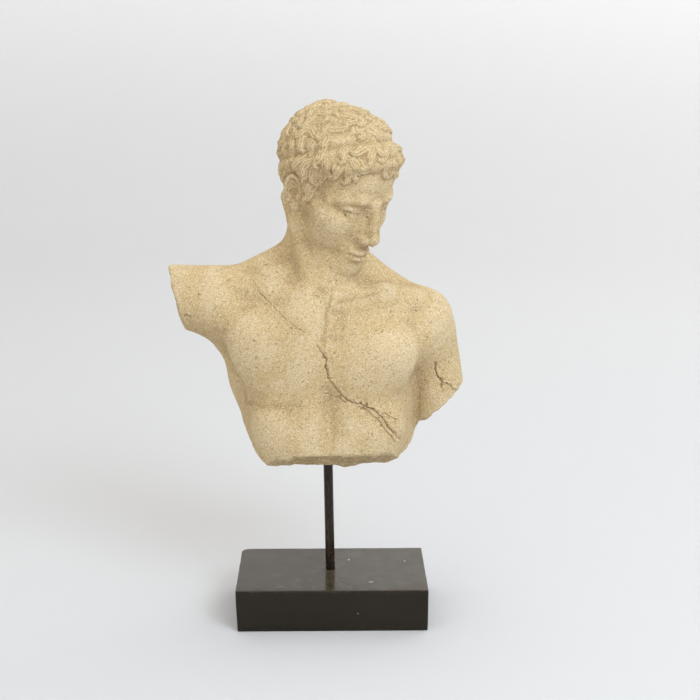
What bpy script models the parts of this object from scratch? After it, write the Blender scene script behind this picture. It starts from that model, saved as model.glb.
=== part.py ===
"""A classical youth's bust in cast sandstone, carried by a steel rod on a black block."""

import math
import random

import bmesh
import bpy
import numpy as np
from mathutils import Euler, Matrix, Vector

# Driving dimensions, in metres. The origin is the centre of the block's underside.
BASE_WIDTH = 0.162
BASE_DEPTH = 0.090
BASE_HEIGHT = 0.037
BASE_EDGE = 0.0008
BASE_BACK_CORNER_RADIUS = 0.007
BASE_CORNER_STEPS = 6
ROD_DIAMETER = 0.008
ROD_SHOWING = 0.103
ROD_IN_BASE = 0.022
ROD_IN_BUST = 0.060
ROD_ASIDE = -0.0014
ROD_LEAN = 0.9
ROD_CHAMFER = 0.0005
ROD_SIDES = 32
FIT_GAP = 0.0003
BUST_HEIGHT = 0.300
BUST_FOOT = BASE_HEIGHT + ROD_SHOWING

# The figure is laid out in points: the bust is 300 points high from its broken foot to its
# hair, x runs to the viewer's right, y away from the viewer and z up from the foot.
POINT = BUST_HEIGHT / 300
HEAD_HEIGHT = 118.0
HEAD_CENTRE = (5.0, -8.0, 249.0)
HEAD_TURN = 45.0
HEAD_BOW = 26.0
HEAD_LEAN = 0.0
CLAY_GRAIN = 2.2
FACETS = 9000


def smooth_min(a, b, k):
    """The lesser of two distances, with the corner between them filled over a width k."""
    h = np.clip(0.5 + 0.5 * (b - a) / k, 0, 1)
    return b + (a - b) * h - k * h * (1 - h)


class Lump:
    """A piece of clay: a form with a distance, a place for the culling and a blend width."""

    def __init__(self, centre, reach, blend, carve):
        self.centre = np.array(centre, float)
        self.reach = reach
        self.blend = blend
        self.carve = carve

    def lay(self, p, value):
        """Adds this lump to, or carves it from, the distances at the points p."""
        near = np.linalg.norm(p - self.centre, axis=1) < self.reach + 2 * self.blend + 2
        if not near.any():
            return
        d = self.distance(p[near])
        if self.carve:
            value[near] = -smooth_min(-value[near], d, self.blend)
        else:
            value[near] = smooth_min(value[near], d, self.blend)


class Egg(Lump):
    """An ellipsoid, turned by degrees about x, y and z."""

    def __init__(self, centre, radii, turn=(0, 0, 0), blend=6.0, carve=False):
        super().__init__(centre, max(radii), blend, carve)
        self.radii = np.array(radii, float)
        angles = [math.radians(a) for a in turn]
        self.axes = np.array(Euler(angles).to_matrix())

    def distance(self, p):
        q = (p - self.centre) @ self.axes
        k0 = np.linalg.norm(q / self.radii, axis=1)
        k1 = np.linalg.norm(q / self.radii**2, axis=1) + 1e-9
        return k0 * (k0 - 1) / k1

    def mesh_into(self, bm, place):
        spread = Matrix.Diagonal((*self.radii, 1))
        turn = Matrix(self.axes.tolist()).to_4x4()
        move = Matrix.Translation(self.centre.tolist())
        bmesh.ops.create_icosphere(bm, subdivisions=3, radius=1, matrix=place @ move @ turn @ spread)


class Limb(Lump):
    """A round bar from one point to another, with a radius at each end."""

    def __init__(self, start, end, start_radius, end_radius, blend=6.0, carve=False):
        a = np.array(start, float)
        b = np.array(end, float)
        reach = np.linalg.norm(b - a) / 2 + max(start_radius, end_radius)
        super().__init__((a + b) / 2, reach, blend, carve)
        self.start = a
        self.run = b - a
        self.radii = (start_radius, end_radius)

    def distance(self, p):
        q = p - self.start
        t = np.clip(q @ self.run / (self.run @ self.run), 0, 1)
        r = self.radii[0] + (self.radii[1] - self.radii[0]) * t
        return np.linalg.norm(q - t[:, None] * self.run, axis=1) - r

    def mesh_into(self, bm, place):
        made = bmesh.ops.create_icosphere(bm, subdivisions=3, radius=1)
        for vert in made["verts"]:
            out = np.array(vert.co)
            far = out @ self.run > 0
            spot = self.start + (self.run if far else 0) + out * self.radii[int(far)]
            vert.co = place @ Vector(spot)


FAR_OFF = 1e3


def gathered(p, lumps, value=None):
    """The distances from the points p to the lumps, laid one after another."""
    value = np.full(len(p), FAR_OFF) if value is None else value
    if not lumps:
        return value
    middle = np.mean([lump.centre for lump in lumps], axis=0)
    reach = max(np.linalg.norm(lump.centre - middle) + lump.reach + 2 * lump.blend + 2 for lump in lumps)
    near = np.linalg.norm(p - middle, axis=1) < reach
    nearby = p[near]
    inner = value[near]
    for lump in lumps:
        lump.lay(nearby, inner)
    value[near] = inner
    return value


def chain(points, radii, blend=6.0, carve=False):
    """Limbs end to end through the points, with a radius at each point."""
    return [
        Limb(a, b, ra, rb, blend, carve)
        for a, b, ra, rb in zip(points, points[1:], radii, radii[1:])
    ]


def chest_lumps():
    """The chest, belly, back and shoulder caps, in points."""
    lumps = []
    for side in (-1, 1):
        lumps.append(Egg((-3 + 26 * side, 4, 66), (45, 46, 80), blend=16))
        lumps.append(Egg((-2 + 28 * side, 3, 4), (38, 42, 62), blend=20))
    lumps.append(Egg((-5, 12, 118), (54, 36, 44), blend=18))
    lumps.append(Egg((-6, -8, 122), (44, 28, 32), blend=14))
    # The sheet of muscle from the armpit down each flank
    lumps += chain([(-82, 14, 98), (-68, 16, 64), (-53, 16, 20)], (14, 13, 13), blend=18)
    lumps.append(Limb((64, 16, 88), (54, 16, 20), 13, 13, blend=18))
    # Breast muscles, the right one drawn up by the raised arm
    lumps.append(Egg((31, -28.5, 92), (37, 19.5, 31), (0, -8, 0), blend=13))
    lumps.append(Limb((44, -27, 98), (70, -4, 112), 16, 16, blend=14))
    lumps.append(Egg((-40, -27, 95), (42, 19, 34), (0, 14, 0), blend=15))
    lumps.append(Limb((-50, -26, 104), (-88, -2, 130), 18, 20, blend=16))
    lumps.append(Limb((-88, 6, 108), (-112, 6, 128), 11, 13, blend=14))
    # Belly wall and the cushion over the lower ribs
    for side in (-1, 1):
        lumps.append(Egg((-3 + 14 * side, -34, 18), (16, 13, 46), blend=10))
        lumps.append(Egg((-3 + 38 * side, -28, 34), (22, 15, 26), (0, 18 * side, 0), blend=12))
    # Shoulder caps
    lumps.append(Egg((77, 8, 108), (24.5, 26, 35), (0, 14, 0), blend=12))
    lumps.append(Egg((-90, 4, 133), (30, 27, 25), (0, 4, 0), blend=12))
    # Shoulder blades and the furrow of the spine
    for side in (-1, 1):
        lumps.append(Egg((-3 + 38 * side, 32, 106), (28, 16, 36), (0, 12 * side, 0), blend=20))
    lumps.append(Limb((-8, -50, 132), (-4, -58, 78), 2, 3, blend=8, carve=True))
    lumps.append(Limb((-3, -54, 58), (0, -52, -6), 2, 2, blend=6, carve=True))
    lumps.append(Limb((-3, 58, 150), (-2, 56, 0), 4, 4, blend=12, carve=True))
    return lumps


def neck_lumps():
    """The yoke of the shoulders, the neck and the collar bones, in points."""
    lumps = [
        Limb((-12, 19, 176), (-88, 6, 145), 17, 12.5, blend=12),
        Limb((-6, 19, 175), (64, 16, 132), 19, 13, blend=18),
        Egg((-4, 24, 146), (42, 21, 34), (8, 0, 0), blend=14),
        Egg((-42, 0, 132), (38, 26, 22), (0, 8, 0), blend=12),
        Egg((36, 0, 128), (38, 27, 24), (0, 8, 0), blend=12),
        Limb((-6, 6, 146), (-8, 8, 222), 30, 27, blend=14),
        Limb((-6, -6, 140), (-1, -4, 196), 24, 19, blend=10),
        Limb((-33, -6, 222), (-12, -23, 146), 7, 5, blend=8),
    ]
    lumps += chain([(14, 30, 222), (22, 0, 182), (2, -20, 142)], (7, 6, 4), blend=9)
    lumps.append(Egg((-2, -17, 182), (8, 8, 16), blend=8))
    lumps += chain([(-20, -22, 145), (-48, -16, 149), (-76, -4, 150)], (4, 3.5, 4), blend=12)
    lumps += chain([(4, -25, 142), (42, -18, 146), (68, -4, 139)], (4, 3.5, 4), blend=12)
    lumps.append(Egg((-34, -12, 169), (9, 5, 5), (0, 20, 0), blend=10, carve=True))
    lumps.append(Egg((34, -13, 162), (10, 5, 4), (0, -20, 0), blend=10, carve=True))
    lumps.append(Egg((-8, -35, 149), (4, 5, 5), blend=6, carve=True))
    return lumps


# Where the figure is broken off: a point and the outward direction of each break
CHEST_BREAKS = (
    ((0, 0, 1), (0, 0, -1)),
    ((0, -24, 1.5), (0.03, -0.42, -0.9)),
    ((30, -24, 4), (0.16, -0.42, -0.9)),
    ((0, 26, 4), (0, 0.4, -0.92)),
    ((-60, 0, 9), (-0.77, 0, -0.64)),
    ((69, 0, 16), (0.64, -0.12, -0.76)),
)
LEFT_ARM_BREAK = (((92, 0, 45), (0.68, 0.0, -0.73)),)
RIGHT_ARM_BREAK = (((-125, 0, 138), (-0.963, -0.05, -0.268)),)
BREAK_ROUGHNESS = 2.2


def rough(p, size, seed=0.0):
    """Smooth random values from -1 to 1 through space, with features of about the given size."""
    q = p / size
    cell = np.floor(q)
    f = q - cell
    f = f * f * (3 - 2 * f)
    total = np.zeros(len(p))
    for corner in np.ndindex(2, 2, 2):
        at = cell + corner
        mixed = np.sin(at @ np.array((127.1, 311.7, 74.7)) + seed) * 43758.5453
        share = np.where(np.array(corner, bool), f, 1 - f).prod(axis=1)
        total += share * (mixed - np.floor(mixed))
    return 2 * total - 1


def broken(p, value, breaks, ripple):
    """The form cut off at planes that a ripple makes rough."""
    for point, out in breaks:
        d = (p - point) @ (np.array(out) / np.linalg.norm(out))
        value = -smooth_min(-value, -d - ripple, 1.5)
    return value


def on_ball(centre, radius, x, z):
    """The point of a ball's front at the given x and z."""
    y = centre[1] - math.sqrt(max(radius**2 - (x - centre[0]) ** 2 - (z - centre[2]) ** 2, 0.1))
    return (x, y, z)


def eye_lumps():
    """The eye, its socket and its lids, on the side where x is above zero."""
    ball = (12.8, -30.6, 49.0)
    radius = 7.2
    half_width = 6.9

    def lid(height, out, start, end):
        turns = np.radians(np.linspace(start, end, 9))
        return [
            on_ball(ball, radius + out, ball[0] + half_width * math.cos(a), 48.4 + height * math.sin(a))
            for a in turns
        ]

    upper = lid(4.0, 0.5, 178, -8)
    lower = lid(2.7, 0.1, 190, 350)
    lumps = [
        Egg((13.4, -43.8, 52.4), (9.6, 7.0, 5.4), (0, 8, 16), blend=4, carve=True),
        Egg((7.0, -43.5, 50.0), (2.4, 4.0, 3.2), blend=3, carve=True),
        Egg((13.2, -30.8, 54.0), (8.6, 7.0, 2.6), (0, 6, 0), blend=2.5),
        Egg((13.2, -29.2, 44.4), (8.4, 6.8, 2.6), blend=4),
        Egg(ball, (radius, radius, radius), blend=0.4),
    ]
    lumps += chain(upper, [0.75] * len(upper), blend=0.35)
    return lumps + chain(lower, [0.7] * len(lower), blend=0.5)


def skull_lumps():
    """One half of the head, for x at or above zero, in hundredths of its height from the chin up."""
    lumps = [
        Egg((0, 3, 64), (32, 41, 35.5), blend=6),
        Egg((0, -17.8, 69), (27, 20, 21), blend=8),
        Egg((0, -8.5, 77.5), (25, 22, 22.5), blend=8),
        Egg((0, -17, 40), (25, 23, 25), blend=6),
        Egg((0, -30, 21), (13, 14.5, 12), blend=7),
        Egg((16, -21, 32), (10.5, 13, 15), blend=9),
        Egg((18, -24, 41), (8, 10.5, 7), blend=9),
        Limb((22, -18, 44), (26, 4, 47), 4, 4, blend=9),
        Limb((21, 3, 40), (18, 0, 22), 8, 7, blend=9),
        Limb((18, -3, 20), (6, -30, 8), 7, 7.5, blend=9),
        Egg((0, -35.5, 8), (8.5, 8.5, 8), blend=5),
        Egg((0, -14, 13), (16, 20, 9), blend=8),
        Egg((36, -17, 62), (6, 10, 10), blend=8, carve=True),
    ]
    brow = [(2, -38.4, 57.5), (12, -36.8, 60), (20, -31, 58.8), (24.5, -23.5, 54.5)]
    return lumps + chain(brow, (2.9, 2.7, 2.3, 2.4), blend=5.5)


def feature_lumps():
    """The nose and the mouth, on the side where x is above zero."""
    lumps = [
        Limb((0, -35.4, 55), (0, -40.0, 36), 5.0, 7.2, blend=5),
        Limb((0, -40.0, 58), (0, -48.8, 37.5), 3.0, 3.6, blend=3.5),
        Egg((0, -48.9, 35.2), (3.4, 3.7, 3.2), blend=3),
        Egg((4.7, -44.8, 33.4), (2.5, 4.2, 2.9), blend=2.6),
        Limb((0, -49, 32.2), (0, -43.6, 31), 1.7, 1.8, blend=1.5),
        Egg((2.8, -46.6, 30.8), (1.4, 2.6, 1.6), (0, 0, 20), blend=0.8, carve=True),
        Limb((0, -46.2, 28.6), (0, -46.6, 25.2), 1.0, 1.3, blend=1.6, carve=True),
        Egg((0, -41.0, 22.5), (8.5, 5.8, 2.7), blend=1.8),
        Egg((2.4, -43.6, 23.1), (3.4, 3.2, 1.9), (0, 14, 0), blend=1.2),
        Egg((0, -41.3, 17.9), (7.2, 5.4, 2.9), blend=1.6),
        Egg((0, -46.4, 13.2), (8, 2.6, 2), blend=3, carve=True),
    ]
    parting = [(0, -47.2, 20.5), (3.6, -46.6, 20.8), (7.4, -43.4, 20.4), (10.4, -39.8, 19.9)]
    lumps += chain(parting, (0.75, 0.7, 0.7, 0.9), blend=0.8, carve=True)
    return lumps


def ear_lumps():
    """The ear on the side where x is above zero, in hundredths of the head's height."""
    middle = np.array((31.0, 4.0, 44.5))
    turn = (-12, 4, -24)
    tilt = np.array(Euler([math.radians(a) for a in turn]).to_matrix())

    def at(out, back, up):
        return tuple(middle + tilt @ np.array((out, back, up)))

    def arc(out, ahead, over, depth, height, angles):
        turns = np.radians(angles)
        return [at(out, ahead + depth * math.cos(a), over + height * math.sin(a)) for a in turns]

    rim = arc(1.8, 0, 2.5, 5.6, 9.5, range(-60, 221, 20))
    inner = arc(1.2, 0.6, 2.2, 2.9, 6.2, range(-70, 111, 22))
    lumps = [
        Egg(at(0, 0, 1), (2.2, 5.4, 11), turn, blend=1.5),
        Egg(at(0.9, -1.6, -9.3), (1.9, 3.2, 4.2), turn, blend=1.5),
        Egg(at(2.9, -1.0, -1), (2.4, 3.2, 5.2), turn, blend=1, carve=True),
    ]
    lumps += chain(rim, [1.3] * len(rim), blend=0.8)
    lumps += chain(inner, [1.0] * len(inner), blend=0.9)
    lumps.append(Egg(at(1.5, -4.4, -1.6), (1.5, 1.6, 2.6), turn, blend=1))
    return lumps


# The hair's edge, as height up the head at each angle round from the face, in degrees
HAIRLINE = (
    (0, 80),
    (18, 79),
    (32, 76),
    (46, 71.5),
    (60, 69),
    (66, 63),
    (71, 51),
    (77, 50),
    (84, 57.5),
    (102, 61),
    (114, 53),
    (126, 32),
    (150, 20),
    (180, 17),
)
HAIR_EDGE_SOFTNESS = 8.0
HAIR_DEPTH = 3.0
HAIR_MIDDLE = np.array((0.0, 3.0, 61.0))
HAIR_RADII = np.array((36.0, 45.0, 39.0))
CROWN = np.array((0.0, 31.0, 92.0))
# A shallow groove runs round the head where a headband would lie, the fringe rolled below it
BAND_HEIGHT = 77.5
BAND_FALL = 0.97
BAND_DEPTH = 2.6
BAND_HALF_WIDTH = 3.0
ROLL_DEPTH = 0.5
ROLL_WIDTH = 9.0
TUFT_DEPTH = 3.6
TUFT_WIDTH = 6.0
# A lock swings to each side by its wave and turns its tip by its hook, in degrees
CROWN_LOCK = {"count": 330, "length": 17, "half_width": 4.0, "height": 2.5, "wave": 40, "hook": 190}
CROWN_STRAY = 42
CROWN_CLEAR = 5.0
FRINGE_LOCK = {"count": 36, "length": 19, "half_width": 4.3, "height": 2.9, "wave": 36, "hook": 170}
FRINGE_STRAY = 24
FRINGE_DROP = 11.0
LOCK_STEPS = 9
LOCK_SEED = 11
# No lock lies on the ear, here as y and z in the head's own space
EAR_PLACE = (4.0, 44.5)
EAR_REACH = (8.0, 13.0)


def hair_edge(angle):
    """The height of the hair's edge at an angle round from the face, in degrees."""
    angles, heights = zip(*HAIRLINE)
    return np.interp(np.abs(angle), angles, heights)


def hair_share(q):
    """How far into the hair each point of the head's own space is, from 0 to 1."""
    angle = np.degrees(np.arctan2(np.abs(q[:, 0]), -q[:, 1] + 3))
    lean = (hair_edge(angle + 3) - hair_edge(angle - 3)) / 3.6
    inward = (q[:, 2] - hair_edge(angle)) / np.sqrt(1 + lean**2)
    share = np.clip(inward / HAIR_EDGE_SOFTNESS + 0.5, 0, 1)
    return share * share * (3 - 2 * share)


def above_band(q):
    """The distance of each point above the band's groove, across the groove."""
    return (q[:, 2] + BAND_FALL * q[:, 1] - BAND_HEIGHT) / math.hypot(1, BAND_FALL)


def hair_depth(q):
    """The thickness of the hair's mass under its locks."""
    above = above_band(q)
    roll = ROLL_DEPTH * np.clip(-above / ROLL_WIDTH, 0, 1)
    groove = BAND_DEPTH * np.exp(-((above / BAND_HALF_WIDTH) ** 2))
    tuft = TUFT_DEPTH * np.exp(-((q - CROWN) ** 2).sum(axis=1) / TUFT_WIDTH**2)
    return (HAIR_DEPTH + roll - groove + tuft) * hair_share(q)


class Lock:
    """One wavy lock of hair, laid on the head round a point and hooked at its tip."""

    def __init__(self, spot, aim, look, draw):
        self.middle = spot
        self.out = outward_at(spot)
        flow = aim - self.out * (aim @ self.out)
        self.flow = flow / (np.linalg.norm(flow) + 1e-6)
        self.side = np.cross(self.out, self.flow)
        length = look["length"] * draw.uniform(0.8, 1.2)
        self.half_width = look["half_width"] * draw.uniform(0.85, 1.15)
        self.height = look["height"] * draw.uniform(0.85, 1.15)
        hand = draw.choice((-1.0, 1.0))
        wave = hand * math.radians(look["wave"]) * draw.uniform(0.6, 1.2)
        hook = hand * math.radians(look["hook"]) * draw.uniform(0.4, 1.2)
        phase = draw.uniform(-0.1, 0.15)
        at = (np.arange(LOCK_STEPS) + 0.5) / LOCK_STEPS
        heading = wave * np.sin(2 * math.pi * (0.75 * at + phase))
        heading += hook * np.clip(at - 0.55, 0, 1) ** 1.5 * 3.3
        steps = np.stack((np.cos(heading), np.sin(heading)), axis=1) * length / LOCK_STEPS
        self.line = np.concatenate((np.zeros((1, 2)), np.cumsum(steps, axis=0)))
        self.line -= self.line[LOCK_STEPS // 2]
        self.reach = length / 2 + self.half_width + 2

    def rise(self, q):
        """The lock's height over each point."""
        d = q - self.middle
        flat = np.stack((d @ self.flow, d @ self.side), axis=1)
        gap = np.full(len(q), FAR_OFF)
        along = np.zeros(len(q))
        for i, start in enumerate(self.line[:-1]):
            run = self.line[i + 1] - start
            share = np.clip((flat - start) @ run / (run @ run), 0, 1)
            aside = np.linalg.norm(flat - start - share[:, None] * run, axis=1)
            closer = aside < gap
            gap[closer] = aside[closer]
            along[closer] = ((i + share) / LOCK_STEPS)[closer]
        taper = 0.55 + 0.45 * np.sin(math.pi * np.minimum(along * 1.25, 0.5))
        across = gap / (self.half_width * taper * (1 - 0.62 * along**3))
        dome = np.clip(1 - across**2.4, 0, 1) ** 0.55
        tip = np.sqrt(np.clip(1 - (np.clip(along - 0.9, 0, 1) / 0.13) ** 2, 0, 1))
        rise = self.height * dome * tip * (0.25 + 0.75 * np.minimum(along * 1.15, 1))
        return np.where((across < 1) & (np.abs(d @ self.out) < 12), rise, 0.0)


def direction(angle, height):
    """The direction from the head's middle to the hair at an angle and a height."""
    up = min(max((height - HAIR_MIDDLE[2]) / HAIR_RADII[2], -1), 1)
    level = math.sqrt(1 - up * up)
    a = math.radians(angle)
    return np.array((level * math.sin(a), -level * math.cos(a), up))


def band_direction(angle):
    """The direction to the band's groove at an angle round from the face."""
    low, high = hair_edge(angle), HAIR_MIDDLE[2] + HAIR_RADII[2]
    for _ in range(20):
        height = (low + high) / 2
        spot = HAIR_MIDDLE + direction(angle, height) * HAIR_RADII
        if above_band(spot[None])[0] > 0:
            high = height
        else:
            low = height
    return direction(angle, height)


def swung(aim, out, degrees):
    """A direction turned about the outward one."""
    return np.array(Matrix.Rotation(math.radians(degrees), 3, Vector(out)) @ Vector(aim))


def outward_at(spot):
    """The direction straight out of the hair at a spot."""
    out = (spot - HAIR_MIDDLE) / HAIR_RADII**2
    return out / np.linalg.norm(out)


def clear_of_ear(q):
    """Nought for each point on the ear, one for those away from it."""
    away = (q[:, 1:] - EAR_PLACE) / EAR_REACH
    clear = np.clip((np.linalg.norm(away, axis=1) - 0.95) / 0.35, 0, 1)
    return np.where(np.abs(q[:, 0]) > 24, clear, 1.0)


def crown_locks(draw):
    """Low locks that stream from the crown, spread evenly over the head above the groove."""
    count = CROWN_LOCK["count"]
    locks = []
    for i in range(count):
        height = 1 - 2 * (i + 0.5) / count
        angle = i * math.pi * (3 - math.sqrt(5))
        level = math.sqrt(1 - height * height)
        out = np.array((level * math.cos(angle), level * math.sin(angle), height))
        spot = HAIR_MIDDLE + out * HAIR_RADII
        if above_band(spot[None])[0] > CROWN_CLEAR:
            stray = draw.uniform(-CROWN_STRAY, CROWN_STRAY)
            aim = swung(spot - CROWN, outward_at(spot), stray)
            locks.append(Lock(spot, aim, CROWN_LOCK, draw))
    return locks


def fringe_locks(draw):
    """Fuller locks that fall in rows from the groove over the hair's edge."""
    count = FRINGE_LOCK["count"]
    locks = []
    for i in range(count):
        angle = -180 + 360 * (i + draw.uniform(-0.2, 0.2)) / count
        top = HAIR_MIDDLE + band_direction(angle) * HAIR_RADII
        foot = HAIR_MIDDLE + direction(angle, hair_edge(angle)) * HAIR_RADII
        rows = max(2, round(np.linalg.norm(foot - top) / FRINGE_DROP))
        for row in range(rows):
            share = (row + 0.5 + 0.4 * (i % 2) * (row < rows - 1)) / rows
            spot = top * (1 - share) + foot * share - HAIR_MIDDLE
            spot = HAIR_MIDDLE + spot / np.linalg.norm(spot / HAIR_RADII)
            stray = draw.uniform(-FRINGE_STRAY, FRINGE_STRAY)
            aim = swung(foot - top, outward_at(spot), stray)
            locks.append(Lock(spot, aim, FRINGE_LOCK, draw))
    return locks


def hair_locks():
    draw = random.Random(LOCK_SEED)
    return crown_locks(draw) + fringe_locks(draw)


class Head:
    """The head's own space, set in the figure's."""

    scale = HEAD_HEIGHT / 100
    pivot = np.array((0.0, 3.0, 64.0))
    turn = np.array(
        (
            Matrix.Rotation(math.radians(HEAD_TURN), 3, "Z")
            @ Matrix.Rotation(math.radians(HEAD_BOW), 3, "X")
            @ Matrix.Rotation(math.radians(HEAD_LEAN), 3, "Y")
        )
    )

    def inward(self, p):
        return (p - HEAD_CENTRE) @ self.turn / self.scale + self.pivot

    def outward(self):
        turn = Matrix(self.turn.tolist()).to_4x4()
        back = Matrix.Translation((-self.pivot).tolist())
        return Matrix.Translation(HEAD_CENTRE) @ turn @ Matrix.Scale(self.scale, 4) @ back


class Figure:
    """The whole bust as one blended form."""

    def __init__(self):
        self.chest = chest_lumps()
        self.left_arm = [Limb((82, 14, 104), (98, 19, 0), 23, 24.5)]
        self.right_arm = [Limb((-100, 4, 138), (-150, 8, 138), 26, 27)]
        self.neck = neck_lumps()
        self.skull = skull_lumps()
        self.eye = eye_lumps()
        self.features = feature_lumps()
        self.ear = ear_lumps()
        self.head = Head()
        self.locks = hair_locks()

    def distance(self, p):
        ripple = BREAK_ROUGHNESS * (0.7 * rough(p, 13, 2.0) + 0.4 * rough(p, 5, 7.0))
        body = broken(p, gathered(p, self.chest), CHEST_BREAKS, ripple)
        left = broken(p, gathered(p, self.left_arm), LEFT_ARM_BREAK, ripple)
        right = broken(p, gathered(p, self.right_arm), RIGHT_ARM_BREAK, ripple)
        body = smooth_min(body, left, 6)
        body = smooth_min(body, right, 10)
        body = gathered(p, self.neck, body)
        return smooth_min(body, self.head_distance(p), 4)

    def head_distance(self, p):
        distance = np.full(len(p), FAR_OFF)
        near = np.linalg.norm(p - HEAD_CENTRE, axis=1) < HEAD_HEIGHT
        q = self.head.inward(p[near])
        folded = q.copy()
        folded[:, 0] = np.abs(q[:, 0])
        skull = gathered(folded, self.skull)
        skull = gathered(folded, self.eye, skull)
        skull = gathered(folded, self.features, skull)
        skull -= hair_depth(q)
        skull = gathered(folded, self.ear, skull)
        distance[near] = skull * self.head.scale
        return distance

    def slope(self, p):
        step = 0.05
        here = self.distance(p)
        there = [self.distance(p + step * np.eye(3)[i]) for i in range(3)]
        grad = np.stack([(t - here) / step for t in there], axis=1)
        return here, grad

    def hair_rise(self, p):
        """How far the locks stand proud of the settled form, in points."""
        q = self.head.inward(p)
        rise = np.zeros(len(p))
        for lock in self.locks:
            near = np.linalg.norm(q - lock.middle, axis=1) < lock.reach
            if near.any():
                rise[near] = np.maximum(rise[near], lock.rise(q[near]))
        return rise * clear_of_ear(q) * self.head.scale

    def combed(self, p, rise):
        """The points raised from the head by the locks' heights."""
        out = (self.head.inward(p) - HAIR_MIDDLE) / HAIR_RADII**2
        out /= np.linalg.norm(out, axis=1)[:, None]
        return p + rise[:, None] * (out @ self.head.turn.T)

    def settle(self, p, rounds=5):
        """Moves each point onto the blended form."""
        for turn in range(rounds):
            if turn % 2 == 0:
                here, grad = self.slope(p)
                steep = np.maximum((grad**2).sum(axis=1), 0.2)
            else:
                here = self.distance(p)
            p = p - np.clip(here / steep, -4, 4)[:, None] * grad
        return p


def cut_off(bm, breaks, place):
    """Cuts the closed shells in bm at the breaks and closes them again."""
    for point, out in breaks:
        cut = bmesh.ops.bisect_plane(
            bm,
            geom=bm.verts[:] + bm.edges[:] + bm.faces[:],
            plane_co=place @ Vector(point),
            plane_no=Vector(out),
            clear_outer=True,
        )
        rim = [g for g in cut["geom_cut"] if isinstance(g, bmesh.types.BMEdge)]
        bmesh.ops.edgeloop_fill(bm, edges=rim)


def reskinned(mesh, grain):
    """One closed skin of even grain round everything in the mesh, in the mesh's own units."""
    clay = bpy.data.objects.new("clay", mesh)
    bpy.context.scene.collection.objects.link(clay)
    skin = clay.modifiers.new("skin", "REMESH")
    skin.mode = "VOXEL"
    skin.voxel_size = grain
    shown = clay.evaluated_get(bpy.context.evaluated_depsgraph_get())
    made = bpy.data.meshes.new_from_object(shown)
    bpy.data.objects.remove(clay)
    bpy.data.meshes.remove(mesh)
    return made


def clay_mesh(figure, grain):
    """The lumps as plain solids, joined into one skin, in points."""
    mesh = bpy.data.meshes.new("clay")
    upright = Matrix.Identity(4)
    place = figure.head.outward()
    mirrored = place @ Matrix.Scale(-1, 4, (1, 0, 0))
    for lumps, breaks, places in (
        (figure.chest, CHEST_BREAKS, (upright,)),
        (figure.left_arm, LEFT_ARM_BREAK, (upright,)),
        (figure.right_arm, RIGHT_ARM_BREAK, (upright,)),
        (figure.neck, (), (upright,)),
        (figure.skull + figure.eye + figure.features + figure.ear, (), (place, mirrored)),
    ):
        bm = bmesh.new()
        for lump in lumps:
            if not lump.carve:
                for spot in places:
                    lump.mesh_into(bm, spot)
        cut_off(bm, breaks, upright)
        bmesh.ops.recalc_face_normals(bm, faces=bm.faces)
        bm.from_mesh(mesh)
        bm.to_mesh(mesh)
        bm.free()
    return reskinned(mesh, grain)


def points_of(mesh):
    """The mesh's vertices as rows of x, y and z."""
    flat = np.zeros(len(mesh.vertices) * 3)
    mesh.vertices.foreach_get("co", flat)
    return flat.reshape(-1, 3)


def put_points(mesh, points):
    mesh.vertices.foreach_set("co", points.astype(np.float32).ravel())
    mesh.update()


def evened(mesh, values):
    """Each vertex's row of values replaced by the mean of those it is joined to."""
    edges = np.zeros(len(mesh.edges) * 2, int)
    mesh.edges.foreach_get("vertices", edges)
    here = np.concatenate((edges[0::2], edges[1::2]))
    there = np.concatenate((edges[1::2], edges[0::2]))
    count = len(mesh.vertices)
    sums = [np.bincount(here, column[there], count) for column in values.T]
    return np.stack(sums, axis=1) / np.bincount(here, minlength=count)[:, None]


def sculpted_mesh(figure, grain):
    """The figure as one closed skin of the given grain, in points."""
    mesh = clay_mesh(figure, grain)
    put_points(mesh, figure.settle(points_of(mesh), 4))
    mesh = reskinned(mesh, grain)
    points = figure.settle(points_of(mesh), 2)
    points = figure.settle(evened(mesh, points), 2)
    rise = figure.hair_rise(points)
    rise = (rise + evened(mesh, rise[:, None])[:, 0]) / 2
    put_points(mesh, figure.combed(points, rise))
    return mesh


def material(name, colour, roughness, metallic=0.0):
    made = bpy.data.materials.new(name)
    made.use_nodes = True
    shader = made.node_tree.nodes["Principled BSDF"]
    shader.inputs["Base Color"].default_value = (*colour, 1)
    shader.inputs["Roughness"].default_value = roughness
    shader.inputs["Metallic"].default_value = metallic
    return made


def placed(name, mesh, finish=None):
    """A new object in the scene with the mesh and, if given, its finish."""
    made = bpy.data.objects.new(name, mesh)
    bpy.context.scene.collection.objects.link(made)
    if finish:
        mesh.materials.clear()
        mesh.materials.append(finish)
    return made


def round_bar_mesh(name, radius, bottom, top, chamfer=0.0):
    """A closed round bar along the leaning rod, its ends chamfered, between two heights."""
    bm = bmesh.new()
    rings = [(radius, bottom + chamfer), (radius, top - chamfer)]
    if chamfer:
        rings = [(radius - chamfer, bottom)] + rings + [(radius - chamfer, top)]
    turns = [2 * math.pi * i / ROD_SIDES for i in range(ROD_SIDES)]
    loops = []
    for r, z in rings:
        loops.append([bm.verts.new((ROD_ASIDE + r * math.cos(a), r * math.sin(a), z)) for a in turns])
    for low, high in zip(loops, loops[1:]):
        for i in range(ROD_SIDES):
            j = (i + 1) % ROD_SIDES
            bm.faces.new((low[i], low[j], high[j], high[i]))
    bm.faces.new(reversed(loops[0]))
    bm.faces.new(loops[-1])
    pivot = Matrix.Translation((ROD_ASIDE, 0, BASE_HEIGHT))
    lean = Matrix.Rotation(math.radians(-ROD_LEAN), 4, "Y")
    bmesh.ops.transform(bm, matrix=pivot @ lean @ pivot.inverted(), verts=bm.verts)
    mesh = bpy.data.meshes.new(name)
    bm.to_mesh(mesh)
    bm.free()
    return mesh


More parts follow.
